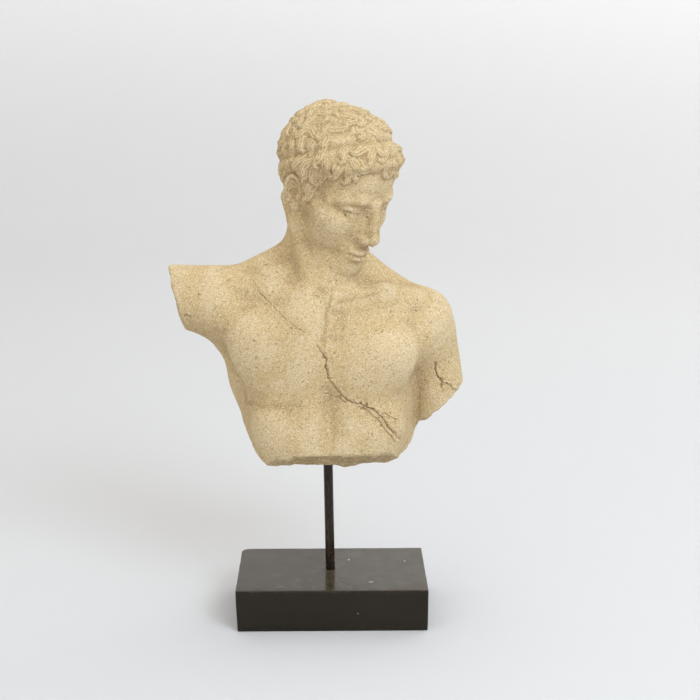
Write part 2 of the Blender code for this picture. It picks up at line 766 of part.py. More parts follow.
def bore(target, name, bottom, top):
    """Bores the rod's hole, with its clearance, in the target between two heights."""
    cutter = placed(name, round_bar_mesh(name, ROD_DIAMETER / 2 + FIT_GAP, bottom, top))
    cutter.hide_render = True
    cutter.display_type = "WIRE"
    cut = target.modifiers.new(name, "BOOLEAN")
    cut.operation = "DIFFERENCE"
    cut.solver = "EXACT"
    cut.object = cutter


def make_base_block(finish):
    """The block: a box with eased edges, its back left corner rounded, bored for the rod."""
    bm = bmesh.new()
    across = BASE_WIDTH / 2
    deep = BASE_DEPTH / 2
    round_off = BASE_BACK_CORNER_RADIUS
    outline = [(-across, -deep), (across, -deep), (across, deep)]
    for i in range(BASE_CORNER_STEPS + 1):
        a = math.radians(90 + 90 * i / BASE_CORNER_STEPS)
        corner = (-across + round_off, deep - round_off)
        outline.append((corner[0] + round_off * math.cos(a), corner[1] + round_off * math.sin(a)))
    foot = bm.faces.new([bm.verts.new((x, y, 0)) for x, y in reversed(outline)])
    raised = bmesh.ops.extrude_face_region(bm, geom=[foot])
    tops = [g for g in raised["geom"] if isinstance(g, bmesh.types.BMVert)]
    bmesh.ops.translate(bm, verts=tops, vec=(0, 0, BASE_HEIGHT))
    bmesh.ops.recalc_face_normals(bm, faces=bm.faces)
    mesh = bpy.data.meshes.new("base_block")
    bm.to_mesh(mesh)
    bm.free()
    block = placed("base_block", mesh, finish)
    eased = block.modifiers.new("eased edges", "BEVEL")
    eased.width = BASE_EDGE
    eased.segments = 3
    eased.limit_method = "ANGLE"
    eased.angle_limit = math.radians(30)
    bore(block, "base_bore", BASE_HEIGHT - ROD_IN_BASE - FIT_GAP, BASE_HEIGHT + ROD_SHOWING / 2)
    return block


def make_support_rod(finish):
    """The rod, from the bottom of its hole in the block to the top of its hole in the bust."""
    bottom = BASE_HEIGHT - ROD_IN_BASE
    top = BUST_FOOT + ROD_IN_BUST
    mesh = round_bar_mesh("support_rod", ROD_DIAMETER / 2, bottom, top, ROD_CHAMFER)
    mesh.shade_smooth()
    mesh.set_sharp_from_angle(angle=math.radians(30))
    return placed("support_rod", mesh, finish)


def make_bust(finish):
    """The sculpted figure, brought down to its share of facets and bored for the rod."""
    mesh = sculpted_mesh(Figure(), CLAY_GRAIN)
    put_points(mesh, points_of(mesh) * POINT + np.array((0, 0, BUST_FOOT)))
    mesh.shade_smooth()
    bust = placed("bust", mesh, finish)
    fewer = bust.modifiers.new("facets", "DECIMATE")
    fewer.ratio = FACETS / (2 * len(mesh.polygons))
    bore(bust, "bust_socket", BUST_FOOT - ROD_SHOWING / 2, BUST_FOOT + ROD_IN_BUST + FIT_GAP)
    return bust


def main():
    for old in list(bpy.data.objects):
        bpy.data.objects.remove(old)
    make_base_block(material("black_paint", (0.032, 0.027, 0.023), 0.5))
    make_support_rod(material("dark_steel", (0.05, 0.042, 0.036), 0.4, 0.9))
    make_bust(material("sandstone", (0.66, 0.54, 0.37), 0.92))


if __name__ == "__main__":
    main()
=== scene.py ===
# A classical youth's bust in cast sandstone, held by a steel rod over a black painted block.
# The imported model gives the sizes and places, and this script gives every surface its finish.

import math
import random

import bmesh
import bpy
import numpy as np
from mathutils import Euler, Matrix, Vector


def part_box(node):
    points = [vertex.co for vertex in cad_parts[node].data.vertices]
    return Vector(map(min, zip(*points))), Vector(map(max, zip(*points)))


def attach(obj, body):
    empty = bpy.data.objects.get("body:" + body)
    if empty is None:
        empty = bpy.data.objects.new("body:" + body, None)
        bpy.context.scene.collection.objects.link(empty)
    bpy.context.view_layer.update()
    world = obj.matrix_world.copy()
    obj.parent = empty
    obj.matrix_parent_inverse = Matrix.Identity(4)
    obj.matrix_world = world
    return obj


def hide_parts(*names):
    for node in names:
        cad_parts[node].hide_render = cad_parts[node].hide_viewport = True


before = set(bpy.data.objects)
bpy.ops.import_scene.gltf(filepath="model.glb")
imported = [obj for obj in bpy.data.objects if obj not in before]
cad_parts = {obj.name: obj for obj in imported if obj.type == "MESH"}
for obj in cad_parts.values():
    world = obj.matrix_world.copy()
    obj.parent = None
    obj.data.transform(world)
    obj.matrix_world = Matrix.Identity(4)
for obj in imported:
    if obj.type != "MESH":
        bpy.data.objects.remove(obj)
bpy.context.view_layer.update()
mm = 0.001
print("frame loaded:", ", ".join(sorted(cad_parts)))

camera = {
    "place": (0.0, -1.035, 0.502),  # metres, from under the middle of the block
    "down": 14.54,  # degrees below level
    "turn": -0.87,
    "lens": 66.09,
    "sensor": 36.0,
}


def makeCamera():
    data = bpy.data.cameras.new("photoCamera")
    data.lens = camera["lens"]
    data.sensor_width = camera["sensor"]
    made = bpy.data.objects.new("photoCamera", data)
    made.location = camera["place"]
    made.rotation_euler = (math.radians(90 - camera["down"]), 0, math.radians(camera["turn"]))
    bpy.context.scene.collection.objects.link(made)
    bpy.context.scene.camera = made


# Shader helpers: a node with its settings and its inputs, where an input may be another's output


def put(tree, kind, inputs=None, **settings):
    node = tree.nodes.new(kind)
    for name, value in settings.items():
        setattr(node, name, value)
    for name, value in (inputs or {}).items():
        if isinstance(value, bpy.types.NodeSocket):
            tree.links.new(value, node.inputs[name])
        else:
            node.inputs[name].default_value = value
    return node


def sums(tree, operation, a, b=0.0):
    return put(tree, "ShaderNodeMath", {0: a, 1: b}, operation=operation).outputs[0]


def times(tree, a, b):
    return sums(tree, "MULTIPLY", a, b)


def ramped(tree, value, low, high, toLow=0.0, toHigh=1.0):
    inputs = {"Value": value, "From Min": low, "From Max": high, "To Min": toLow, "To Max": toHigh}
    return put(tree, "ShaderNodeMapRange", inputs, interpolation_type="SMOOTHSTEP").outputs[0]


def mixed(tree, share, a, b, how="MIX"):
    node = put(tree, "ShaderNodeMix", {0: share, 6: a, 7: b}, data_type="RGBA", blend_type=how)
    return node.outputs[2]


# The colour with some of a tint laid over it where the mask says
def tinted(tree, colour, tint, mask, share=1.0):
    return mixed(tree, times(tree, mask, share), colour, tint)


def makeGroup(name, inputs, outputs):
    group = bpy.data.node_groups.new(name, "ShaderNodeTree")
    for label, value in inputs.items():
        kind = "NodeSocketVector" if isinstance(value, tuple) else "NodeSocketFloat"
        socket = group.interface.new_socket(label, in_out="INPUT", socket_type=kind)
        socket.default_value = value
    for label in outputs:
        group.interface.new_socket(label, in_out="OUTPUT", socket_type="NodeSocketFloat")
    return group, group.nodes.new("NodeGroupInput").outputs, group.nodes.new("NodeGroupOutput").inputs


def placeGroup(tree, name, **inputs):
    node = put(tree, "ShaderNodeGroup", node_tree=bpy.data.node_groups[name])
    for label, value in inputs.items():
        socket = node.inputs[label]
        if isinstance(value, bpy.types.NodeSocket):
            tree.links.new(value, socket)
        else:
            socket.default_value = value
    return node.outputs


# Loose grains of an even size: a few dark, a few pale, all slightly domed
def makeGrainGroup():
    sockets = {"Place": (0, 0, 0), "Size": 1.0, "Dark": 0.1, "Pale": 0.1}
    group, given, out = makeGroup("grains", sockets, ("Dark", "Pale", "Height"))
    scale = sums(group, "DIVIDE", 1 / mm, given["Size"])
    cells = put(group, "ShaderNodeTexVoronoi", {"Vector": given["Place"], "Scale": scale})
    tone = put(group, "ShaderNodeSeparateColor", {"Color": cells.outputs["Color"]})
    dome = ramped(group, cells.outputs["Distance"], 0.0, 0.6, 1.0, 0.0)
    darkEdge = sums(group, "ADD", given["Dark"], 0.02)
    group.links.new(ramped(group, tone.outputs[0], given["Dark"], darkEdge, 1.0, 0.0), out["Dark"])
    paleEdge = sums(group, "SUBTRACT", 1.0, given["Pale"])
    paleTop = sums(group, "ADD", paleEdge, 0.02)
    group.links.new(ramped(group, tone.outputs[1], paleEdge, paleTop), out["Pale"])
    group.links.new(times(group, dome, tone.outputs[2]), out["Height"])


# Soft clouds of tone, drawn out along an axis by an uneven stretch
def makeCloudGroup():
    sockets = {"Place": (0, 0, 0), "Size": 20.0, "Stretch": (1, 1, 1), "Detail": 5.0}
    group, given, out = makeGroup("clouds", sockets, ("Tone",))
    drawn = put(group, "ShaderNodeVectorMath", {0: given["Place"], 1: given["Stretch"]}, operation="DIVIDE")
    scale = sums(group, "DIVIDE", 1 / mm, given["Size"])
    inputs = {"Vector": drawn.outputs[0], "Scale": scale, "Detail": given["Detail"], "Roughness": 0.6}
    noise = put(group, "ShaderNodeTexNoise", inputs)
    group.links.new(ramped(group, noise.outputs["Fac"], 0.3, 0.7), out["Tone"])


# Rubbed places, and the painted shade and painted light that the sandstone lays in hollows and on crests: a
# mask that a broken edge of noise eats into
def makeWearAndShadingGroup():
    sockets = {"Place": (0, 0, 0), "Mask": 0.0, "Amount": 0.5, "Size": 4.0}
    group, given, out = makeGroup("wearAndShading", sockets, ("WearAndShading",))
    scale = sums(group, "DIVIDE", 1 / mm, given["Size"])
    noise = put(group, "ShaderNodeTexNoise", {"Vector": given["Place"], "Scale": scale, "Detail": 4.0})
    eaten = times(group, given["Mask"], ramped(group, noise.outputs["Fac"], 0.35, 0.65, 0.35, 1.0))
    limit = sums(group, "SUBTRACT", 1.0, given["Amount"])
    top = sums(group, "ADD", limit, 0.35)
    group.links.new(ramped(group, eaten, limit, top), out["WearAndShading"])


# A small round spot, drawn out along an axis by an uneven stretch
def makeSpotGroup():
    sockets = {"Place": (0, 0, 0), "Middle": (0, 0, 0), "Stretch": (1, 1, 1), "Radius": 1.0}
    group, given, out = makeGroup("spot", sockets, ("Spot",))
    away = put(group, "ShaderNodeVectorMath", {0: given["Place"], 1: given["Middle"]}, operation="SUBTRACT")
    drawn = put(group, "ShaderNodeVectorMath", {0: away.outputs[0], 1: given["Stretch"]}, operation="DIVIDE")
    gap = put(group, "ShaderNodeVectorMath", {0: drawn.outputs[0]}, operation="LENGTH").outputs["Value"]
    radius = times(group, given["Radius"], mm)
    group.links.new(ramped(group, sums(group, "DIVIDE", gap, radius), 0.6, 1.1, 1.0, 0.0), out["Spot"])


# Fine dust that lies on whatever faces up
def makeDustGroup():
    group, given, out = makeGroup("dust", {"Place": (0, 0, 0), "Facing": (0, 0, 1), "Amount": 0.3}, ("Dust",))
    up = put(group, "ShaderNodeSeparateXYZ", {0: given["Facing"]}).outputs["Z"]
    noise = put(group, "ShaderNodeTexNoise", {"Vector": given["Place"], "Scale": 90.0, "Detail": 6.0})
    patch = ramped(group, noise.outputs["Fac"], 0.38, 0.68)
    lying = times(group, ramped(group, up, 0.4, 1.0), patch)
    group.links.new(times(group, lying, given["Amount"]), out["Dust"])


def makeMaterial(name, roughness, metallic=0.0, specular=0.5):
    made = bpy.data.materials.new(name)
    made.use_nodes = True
    tree = made.node_tree
    shader = tree.nodes["Principled BSDF"]
    shader.inputs["Roughness"].default_value = roughness
    shader.inputs["Metallic"].default_value = metallic
    shader.inputs["Specular IOR Level"].default_value = specular
    place = put(tree, "ShaderNodeTexCoord").outputs["Object"]
    return made, tree, shader, place


def maskOf(tree, name):
    return put(tree, "ShaderNodeAttribute", attribute_name=name).outputs["Fac"]


def bumped(tree, shader, height, distance, strength=1.0):
    inputs = {"Height": height, "Distance": distance * mm, "Strength": strength}
    bump = put(tree, "ShaderNodeBump", inputs)
    tree.links.new(bump.outputs["Normal"], shader.inputs["Normal"])


sandstone = {
    "sand": (0.545, 0.410, 0.220, 1),
    "warm": (0.470, 0.333, 0.155, 1),
    "shadeAndLayerTan": (0.30, 0.195, 0.085, 1),  # painted shade: the deeper tan laid in hollows and crack grooves, and the tan of the broken faces' coarser layers
    "darkGrain": (0.25, 0.16, 0.075, 1),
    # the pale grain colour, also laid on the crests as painted light
    "paleGrainAndLight": (0.80, 0.70, 0.52, 1),
    "soot": (0.11, 0.07, 0.04, 1),
    "roughness": 0.95,
    "specular": 0.25,
    "clouds": ((34.0, 0.30), (4.0, 0.20)),  # size in mm, and how strongly they show
    "maskSize": 1.6,  # mm
    # how strongly the painted shade in hollows and the painted light on crests show
    "hollowShadeShare": 0.42,
    "crestLightShare": 0.22,
    "layerSize": 1.6,
    "layerStretch": (7, 7, 1),
    "layerShare": 0.8,
    "grains": (  # size in mm, amounts of dark and pale grains, and how strongly each shows
        (0.62, 0.24, 0.28, 0.43, 0.36),
        (1.15, 0.04, 0.05, 0.33, 0.34),
    ),
    "fleckSize": 1.5,  # mm
    "fleckAmount": 0.0015,
    "fleckShare": 0.5,
    # how strongly the painted shade along the crack grooves shows
    "crackShadeShare": 0.24,
    "grainHeight": 0.3,  # mm
}


def makeSandstone():
    look = sandstone
    made, tree, shader, place = makeMaterial("castSandstone", look["roughness"], specular=look["specular"])
    colour = look["sand"]
    for size, share in look["clouds"]:
        tone = placeGroup(tree, "clouds", Place=place, Size=size)["Tone"]
        colour = tinted(tree, colour, look["warm"], tone, share)
    # Painted shade in the hollows and painted light on the crests, broken up by noise
    for name, amount, share, tint in (
        ("hollow", 1.0, look["hollowShadeShare"], look["shadeAndLayerTan"]),
        ("crest", 0.8, look["crestLightShare"], look["paleGrainAndLight"]),
    ):
        mask = maskOf(tree, name)
        wornAndShading = placeGroup(tree, "wearAndShading", Place=place, Mask=mask, Amount=amount, Size=look["maskSize"])["WearAndShading"]
        colour = tinted(tree, colour, tint, wornAndShading, share)
    # The broken faces show the cast's coarser, darker layers
    stretch = look["layerStretch"]
    layers = placeGroup(tree, "clouds", Place=place, Size=look["layerSize"], Stretch=stretch)["Tone"]
    torn = times(tree, maskOf(tree, "broken"), times(tree, layers, look["layerShare"]))
    colour = tinted(tree, colour, look["shadeAndLayerTan"], torn)
    heights = []
    for size, dark, pale, darkShare, paleShare in look["grains"]:
        grains = placeGroup(tree, "grains", Place=place, Size=size, Dark=dark, Pale=pale)
        colour = tinted(tree, colour, look["darkGrain"], grains["Dark"], darkShare)
        colour = tinted(tree, colour, look["paleGrainAndLight"], grains["Pale"], paleShare)
        heights.append(grains["Height"])
    amount = look["fleckAmount"]
    flecks = placeGroup(tree, "grains", Place=place, Size=look["fleckSize"], Dark=amount, Pale=0.0)
    colour = tinted(tree, colour, look["soot"], flecks["Dark"], look["fleckShare"])
    # Painted shade along the crack grooves
    colour = tinted(tree, colour, look["shadeAndLayerTan"], maskOf(tree, "crack"), look["crackShadeShare"])
    tree.links.new(colour, shader.inputs["Base Color"])
    bumped(tree, shader, heights[0], look["grainHeight"], 0.7)
    return made


# Clay for the figure. Each lump gives its distance from points in millimetres above the broken
# foot; x runs to the viewer's right and y away. Lumps run into each other over a blend width.


def smoothMin(a, b, width):
    share = np.clip(0.5 + 0.5 * (b - a) / width, 0, 1)
    return b + (a - b) * share - width * share * (1 - share)


def makeLump(centre, reach, blend, carve, distance):
    reach += 2 * blend + 2
    return {"centre": centre, "reach": reach, "blend": blend, "carve": carve, "distance": distance}


def egg(centre, radii, turn=(0, 0, 0), blend=6.0, carve=False):
    centre = np.array(centre, float)
    size = np.array(radii, float)
    axes = np.array(Euler([math.radians(a) for a in turn]).to_matrix())

    def distance(p):
        q = (p - centre) @ axes
        near = np.linalg.norm(q / size, axis=1)
        return near * (near - 1) / (np.linalg.norm(q / size**2, axis=1) + 1e-9)

    return makeLump(centre, max(radii), blend, carve, distance)


def bar(start, end, startRadius, endRadius, blend=6.0, carve=False):
    start = np.array(start, float)
    run = np.array(end, float) - start

    def distance(p):
        q = p - start
        along = np.clip(q @ run / (run @ run), 0, 1)
        radius = startRadius + (endRadius - startRadius) * along
        return np.linalg.norm(q - along[:, None] * run, axis=1) - radius

    reach = np.linalg.norm(run) / 2 + max(startRadius, endRadius)
    return makeLump(start + run / 2, reach, blend, carve, distance)


def barsThrough(points, radii, blend=6.0, carve=False):
    runs = zip(points, points[1:], radii, radii[1:])
    return [bar(a, b, ra, rb, blend, carve) for a, b, ra, rb in runs]


def gathered(p, lumps, value=None):
    value = np.full(len(p), 1000.0) if value is None else value
    middle = np.mean([lump["centre"] for lump in lumps], axis=0)
    reach = max(np.linalg.norm(lump["centre"] - middle) + lump["reach"] for lump in lumps)
    near = np.linalg.norm(p - middle, axis=1) < reach
    nearby, inner = p[near], value[near]
    for lump in lumps:
        close = np.linalg.norm(nearby - lump["centre"], axis=1) < lump["reach"]
        if not close.any():
            continue
        d = lump["distance"](nearby[close])
        if lump["carve"]:
            inner[close] = -smoothMin(-inner[close], d, lump["blend"])
        else:
            inner[close] = smoothMin(inner[close], d, lump["blend"])
    value[near] = inner
    return value


def chestClay():
    lumps = []
    for side in (-1, 1):
        lumps += [
            egg((-3 + 26 * side, 4, 66), (45, 46, 80), blend=16),  # rib cage
            egg((-2 + 28 * side, 3, 4), (38, 42, 62), blend=20),  # waist
        ]
    lumps += [
        egg((-5, 12, 118), (54, 36, 44), blend=18),
        egg((-6, -8, 122), (44, 28, 32), blend=14),
        *barsThrough([(-82, 14, 98), (-68, 16, 64), (-53, 16, 20)], (14, 13, 13), blend=18),  # flanks
        bar((64, 16, 88), (54, 16, 20), 13, 13, blend=18),
        egg((31, -28.5, 92), (37, 19.5, 31), (0, -8, 0), blend=13),  # breast muscles
        bar((44, -27, 98), (70, -4, 112), 16, 16, blend=14),
        egg((-38, -26, 97), (44, 17.5, 35), (0, 12, 0), blend=17),
        egg((-21, -27.5, 112), (23, 16, 40), (0, 6, 0), blend=13),  # breastbone, up to its furrow
        bar((-52, -22, 106), (-88, -2, 130), 16.5, 20, blend=18),
        bar((-88, 6, 108), (-112, 6, 128), 11, 13, blend=14),
    ]
    for side in (-1, 1):
        lumps += [
            egg((-3 + 14 * side, -34, 18), (16, 13, 46), blend=10),  # belly
            egg((-3 + 38 * side, -28, 34), (22, 15, 26), (0, 18 * side, 0), blend=12),
        ]
    lumps += [
        egg((77, 8, 108), (24.5, 26, 35), (0, 14, 0), blend=12),  # shoulder caps
        egg((-90, 4, 133), (30, 27, 25), (0, 4, 0), blend=12),
    ]
    for side in (-1, 1):
        lumps.append(egg((-3 + 38 * side, 32, 106), (28, 16, 36), (0, 12 * side, 0), blend=20))  # blades
    return lumps + [
        bar((-8, -50, 132), (-4, -58, 78), 2, 3, blend=8, carve=True),
        bar((-3, -54, 58), (0, -52, -6), 2, 2, blend=6, carve=True),
        bar((-3, 58, 150), (-2, 56, 0), 4, 4, blend=12, carve=True),  # spine
    ]


def neckClay():
    return [
        bar((-12, 19, 176), (-88, 6, 145), 17, 12.5, blend=12),
        bar((-6, 19, 175), (64, 16, 132), 19, 13, blend=18),
        egg((-4, 24, 146), (42, 21, 34), (8, 0, 0), blend=14),
        egg((-42, 0, 132), (38, 26, 22), (0, 8, 0), blend=12),
        egg((36, 0, 128), (38, 27, 24), (0, 8, 0), blend=12),
        bar((-6, 6, 146), (-8, 8, 222), 30, 27, blend=14),
        bar((-6, -6, 140), (-1, -4, 196), 24, 19, blend=10),
        bar((-33, -6, 222), (-12, -23, 146), 7, 5, blend=8),
        *barsThrough([(14, 30, 222), (22, 0, 182), (2, -20, 142)], (7, 6, 4), blend=9),
        egg((-2, -17, 182), (8, 8, 16), blend=8),
        *barsThrough([(-20, -22, 145), (-48, -16, 149), (-76, -4, 150)], (4, 3.5, 4), blend=12),
        *barsThrough([(4, -25, 142), (42, -18, 146), (68, -4, 139)], (4, 3.5, 4), blend=12),
        egg((-40, -2, 156), (17, 12, 9), (0, 8, 0), blend=12),
        egg((34, -13, 162), (10, 5, 4), (0, -20, 0), blend=10, carve=True),
        egg((-8, -37, 151), (4, 4, 4), blend=6, carve=True),
    ]


# The head is laid out in hundredths of its own height from the chin up, with its face along -y.
# Everything but the hair is mirrored, so the lumps are those of one half.

head = {
    "height": 118.0,  # mm
    "centre": (5.0, -8.0, 249.0),
    "turn": 45.0,
    "bow": 26.0,
    "pivot": (0.0, 3.0, 64.0),
}
headScale = head["height"] / 100
headTurn = np.array(
    Matrix.Rotation(math.radians(head["turn"]), 3, "Z") @ Matrix.Rotation(math.radians(head["bow"]), 3, "X")
)


def intoHead(p):
    return (p - head["centre"]) @ headTurn / headScale + head["pivot"]


def skullClay():
    lumps = [
        egg((0, 3, 64), (32, 41, 35.5), blend=6),
        egg((0, -17.8, 69), (27, 20, 21), blend=8),
        egg((0, -8.5, 77.5), (25, 22, 22.5), blend=8),
        egg((0, -17, 40), (25, 23, 25), blend=6),
        egg((0, -30, 21), (13, 14.5, 12), blend=7),
        egg((16, -21, 32), (10.5, 13, 15), blend=9),
        egg((18, -24, 41), (8, 10.5, 7), blend=9),
        bar((22, -18, 44), (26, 4, 47), 4, 4, blend=9),
        bar((21, 3, 40), (18, 0, 22), 8, 7, blend=9),
        bar((18, -3, 20), (6, -30, 8), 7, 7.5, blend=9),
        egg((0, -35.5, 8), (8.5, 8.5, 8), blend=5),
        egg((0, -14, 13), (16, 20, 9), blend=8),
        egg((36, -17, 62), (6, 10, 10), blend=8, carve=True),
    ]
    brow = [(2, -38.4, 57.5), (12, -36.8, 60), (20, -31, 58.8), (24.5, -23.5, 54.5)]
    return lumps + barsThrough(brow, (2.9, 2.7, 2.3, 2.4), blend=5.5)


def eyeClay():
    ball = (12.8, -30.6, 49.0)
    radius, halfWidth = 7.2, 6.9

    def lid(height, proud, angles):
        points = []
        for a in np.radians(np.linspace(*angles, 9)):
            x = ball[0] + halfWidth * math.cos(a)
            z = 48.4 + height * math.sin(a)
            y = ball[1] - math.sqrt((radius + proud) ** 2 - (x - ball[0]) ** 2 - (z - ball[2]) ** 2)
            points.append((x, y, z))
        return points

    return [
        egg((13.4, -43.8, 52.4), (9.6, 7.0, 5.4), (0, 8, 16), blend=4, carve=True),
        egg((7.0, -43.5, 50.0), (2.4, 4.0, 3.2), blend=3, carve=True),
        egg((13.2, -30.8, 54.0), (8.6, 7.0, 2.6), (0, 6, 0), blend=2.5),
        egg((13.2, -29.2, 44.4), (8.4, 6.8, 2.6), blend=4),
        egg(ball, (radius, radius, radius), blend=0.4),
        *barsThrough(lid(4.0, 0.5, (178, -8)), [0.75] * 9, blend=0.35),
        *barsThrough(lid(2.7, 0.1, (190, 350)), [0.7] * 9, blend=0.5),
    ]


def noseAndMouthClay():
    parting = [(0, -47.2, 20.5), (3.6, -46.6, 20.8), (7.4, -43.4, 20.4), (10.4, -39.8, 19.9)]
    return [
        bar((0, -35.4, 55), (0, -40.0, 36), 5.0, 7.2, blend=5),
        bar((0, -40.0, 58), (0, -48.8, 37.5), 3.0, 3.6, blend=3.5),
        egg((0, -48.9, 35.2), (3.4, 3.7, 3.2), blend=3),
        egg((4.7, -44.8, 33.4), (2.5, 4.2, 2.9), blend=2.6),
        bar((0, -49, 32.2), (0, -43.6, 31), 1.7, 1.8, blend=1.5),
        egg((2.8, -46.6, 30.8), (1.4, 2.6, 1.6), (0, 0, 20), blend=0.8, carve=True),
        bar((0, -46.2, 28.6), (0, -46.6, 25.2), 1.0, 1.3, blend=1.6, carve=True),
        egg((0, -41.0, 22.5), (8.5, 5.8, 2.7), blend=1.8),
        egg((2.4, -43.6, 23.1), (3.4, 3.2, 1.9), (0, 14, 0), blend=1.2),
        egg((0, -41.3, 17.9), (7.2, 5.4, 2.9), blend=1.6),
        egg((0, -46.4, 13.2), (8, 2.6, 2), blend=3, carve=True),
        *barsThrough(parting, (0.75, 0.7, 0.7, 0.9), blend=0.8, carve=True),
    ]


def earClay():
    turn = (-12, 4, -24)
    tilt = np.array(Euler([math.radians(a) for a in turn]).to_matrix())

    def at(out, back, up):
        return np.array((31.0, 4.0, 44.5)) + tilt @ np.array((out, back, up))

    def arc(out, ahead, over, depth, height, angles):
        turns = np.radians(angles)
        return [at(out, ahead + depth * math.cos(a), over + height * math.sin(a)) for a in turns]

    rim = arc(1.8, 0, 2.5, 5.6, 9.5, range(-60, 221, 20))
    inner = arc(1.2, 0.6, 2.2, 2.9, 6.2, range(-70, 111, 22))
    return [
        egg(at(0, 0, 1), (2.2, 5.4, 11), turn, blend=1.5),
        egg(at(0.9, -1.6, -9.3), (1.9, 3.2, 4.2), turn, blend=1.5),
        egg(at(2.9, -1.0, -1), (2.4, 3.2, 5.2), turn, blend=1, carve=True),
        *barsThrough(rim, [1.3] * len(rim), blend=0.8),
        *barsThrough(inner, [1.0] * len(inner), blend=0.9),
        egg(at(1.5, -4.4, -1.6), (1.5, 1.6, 2.6), turn, blend=1),
    ]


hair = {
    "edgeAngles": (0, 18, 32, 46, 60, 66, 71, 77, 84, 102, 114, 126, 150, 180),  # round from the face
    "edgeHeights": (83, 82, 79, 75, 72, 65, 52, 50, 57.5, 61, 53, 32, 20, 17),
    "overhang": 3.0,
    "edgeSoftness": 8.0,
    "depth": 3.0,
    "middle": (0.0, 3.0, 61.0),
    "radii": (36.0, 45.0, 39.0),
    "crown": (0.0, 31.0, 92.0),
    "bandHeight": 76.5,  # the groove round the head, lower towards the back
    "bandFall": 0.78,
    "bandDepth": 1.6,
    "bandHalfWidth": 2.6,
    "rollDepth": 0.5,
    "rollWidth": 9.0,
    "tuftDepth": 5.0,
    "tuftWidth": 4.5,
    "lock": {
        "wave": 46.0,  # degrees that it swings to each side
        "strands": (3, 3, 4),
        "steps": 9,
    },
    "crownLock": {
        "count": 300,
        "length": 15.5,
        "halfWidth": 4.5,
        "height": 2.6,
        "hook": 270.0,  # degrees that its tip turns
        "stray": 46.0,
        "clear": 3.0,
    },
    "fringeLock": {
        "count": 34,
        "length": 17.0,
        "halfWidth": 4.5,
        "height": 3.1,
        "hook": 255.0,
        "stray": 24.0,
        "rowDrop": 10.0,
    },
    "strand": 0.7,  # depth of the comb lines along a lock
    "earPlace": (4.0, 44.5),
    "earReach": (8.0, 13.0),
    "seed": 11,
}
hairMiddle = np.array(hair["middle"])
hairRadii = np.array(hair["radii"])
hairCrown = np.array(hair["crown"])


def hairEdge(angle):
    return np.interp(np.abs(angle), hair["edgeAngles"], hair["edgeHeights"])


def hairShare(q):
    angle = np.degrees(np.arctan2(np.abs(q[:, 0]), -q[:, 1] + 3))
    lean = (hairEdge(angle + 3) - hairEdge(angle - 3)) / 3.6
    share = np.clip((q[:, 2] - hairEdge(angle)) / np.sqrt(1 + lean**2) / hair["edgeSoftness"] + 0.5, 0, 1)
    return share * share * (3 - 2 * share)


def aboveBand(q):
    return (q[:, 2] + hair["bandFall"] * q[:, 1] - hair["bandHeight"]) / math.hypot(1, hair["bandFall"])


def hairDepth(q):
    above = aboveBand(q)
    roll = hair["rollDepth"] * np.clip(-above / hair["rollWidth"], 0, 1)
    groove = hair["bandDepth"] * np.exp(-((above / hair["bandHalfWidth"]) ** 2))
    tuft = hair["tuftDepth"] * np.exp(-((q - hairCrown) ** 2).sum(axis=1) / hair["tuftWidth"] ** 2)
    return (hair["depth"] + roll - groove + tuft) * hairShare(q)


# One wavy lock: a line that swings to and fro and hooks at its tip, with its strands beside it
def makeLock(spot, out, aim, look, draw):
    flow = aim - out * (aim @ out)
    flow = flow / (np.linalg.norm(flow) + 1e-6)
    side = np.cross(out, flow)
    length = look["length"] * draw.uniform(0.8, 1.2)
    halfWidth = look["halfWidth"] * draw.uniform(0.85, 1.15)
    height = look["height"] * draw.uniform(0.85, 1.15)
    hand = draw.choice((-1.0, 1.0))
    wave = math.radians(look["wave"]) * draw.uniform(0.6, 1.2)
    hook = math.radians(look["hook"]) * draw.uniform(0.4, 1.2)
    phase = draw.uniform(-0.1, 0.15)
    strands = draw.choice(look["strands"])
    count = look["steps"]
    heading = np.array([
        hand * (wave * math.sin(2 * math.pi * (0.75 * t + phase)) + hook * max(t - 0.55, 0) ** 1.5 * 3.3)
        for t in (np.arange(count) + 0.5) / count
    ])
    steps = np.stack((np.cos(heading), np.sin(heading)), axis=1) * length / count
    line = np.concatenate((np.zeros((1, 2)), np.cumsum(steps, axis=0)))
    line -= line[count // 2]

    def rise(q):
        d = q - spot
        flat = np.stack((d @ flow, d @ side), axis=1)
        best = np.full(len(q), 1000.0)
        along = np.zeros(len(q))
        for i in range(count):
            run = line[i + 1] - line[i]
            away = flat - line[i]
            t = away @ run / (run @ run)
            t = np.clip(t, 0 if i else -1, 1 if i < count - 1 else 2)
            rest = away - np.clip(t, 0, 1)[:, None] * run
            gap = np.linalg.norm(rest, axis=1)
            closer = gap < np.abs(best)
            turn = np.sign(run[0] * away[:, 1] - run[1] * away[:, 0])
            best[closer] = (gap * turn)[closer]
            along[closer] = ((i + t) / count)[closer]
        t = np.clip(along, 0, 1)
        swell = 0.55 + 0.45 * np.sin(math.pi * np.minimum(t * 1.25, 0.5))
        taper = halfWidth * swell * (1 - 0.78 * t**2)
        across = best / taper
        inside = np.abs(across) < 1
        dome = np.clip(1 - np.abs(across) ** 2.4, 0, 1) ** 0.55
        tip = np.sqrt(np.clip(1 - (np.clip(t - 0.9, 0, 1) / 0.13) ** 2, 0, 1))
        tall = (0.25 + 0.75 * np.minimum(t * 1.15, 1)) * tip
        combed = hair["strand"] * (1 - np.abs(np.cos(across * math.pi * strands / 2)))
        value = height * dome * tall - combed * np.minimum(dome * 1.5, 1)
        return np.where(inside & (np.abs(d @ out) < 12), value, 0.0)

    return {"middle": spot, "reach": length / 2 + halfWidth + 2, "rise": rise}


def swung(aim, out, degrees):
    return np.array(Matrix.Rotation(math.radians(degrees), 3, Vector(out)) @ Vector(aim))


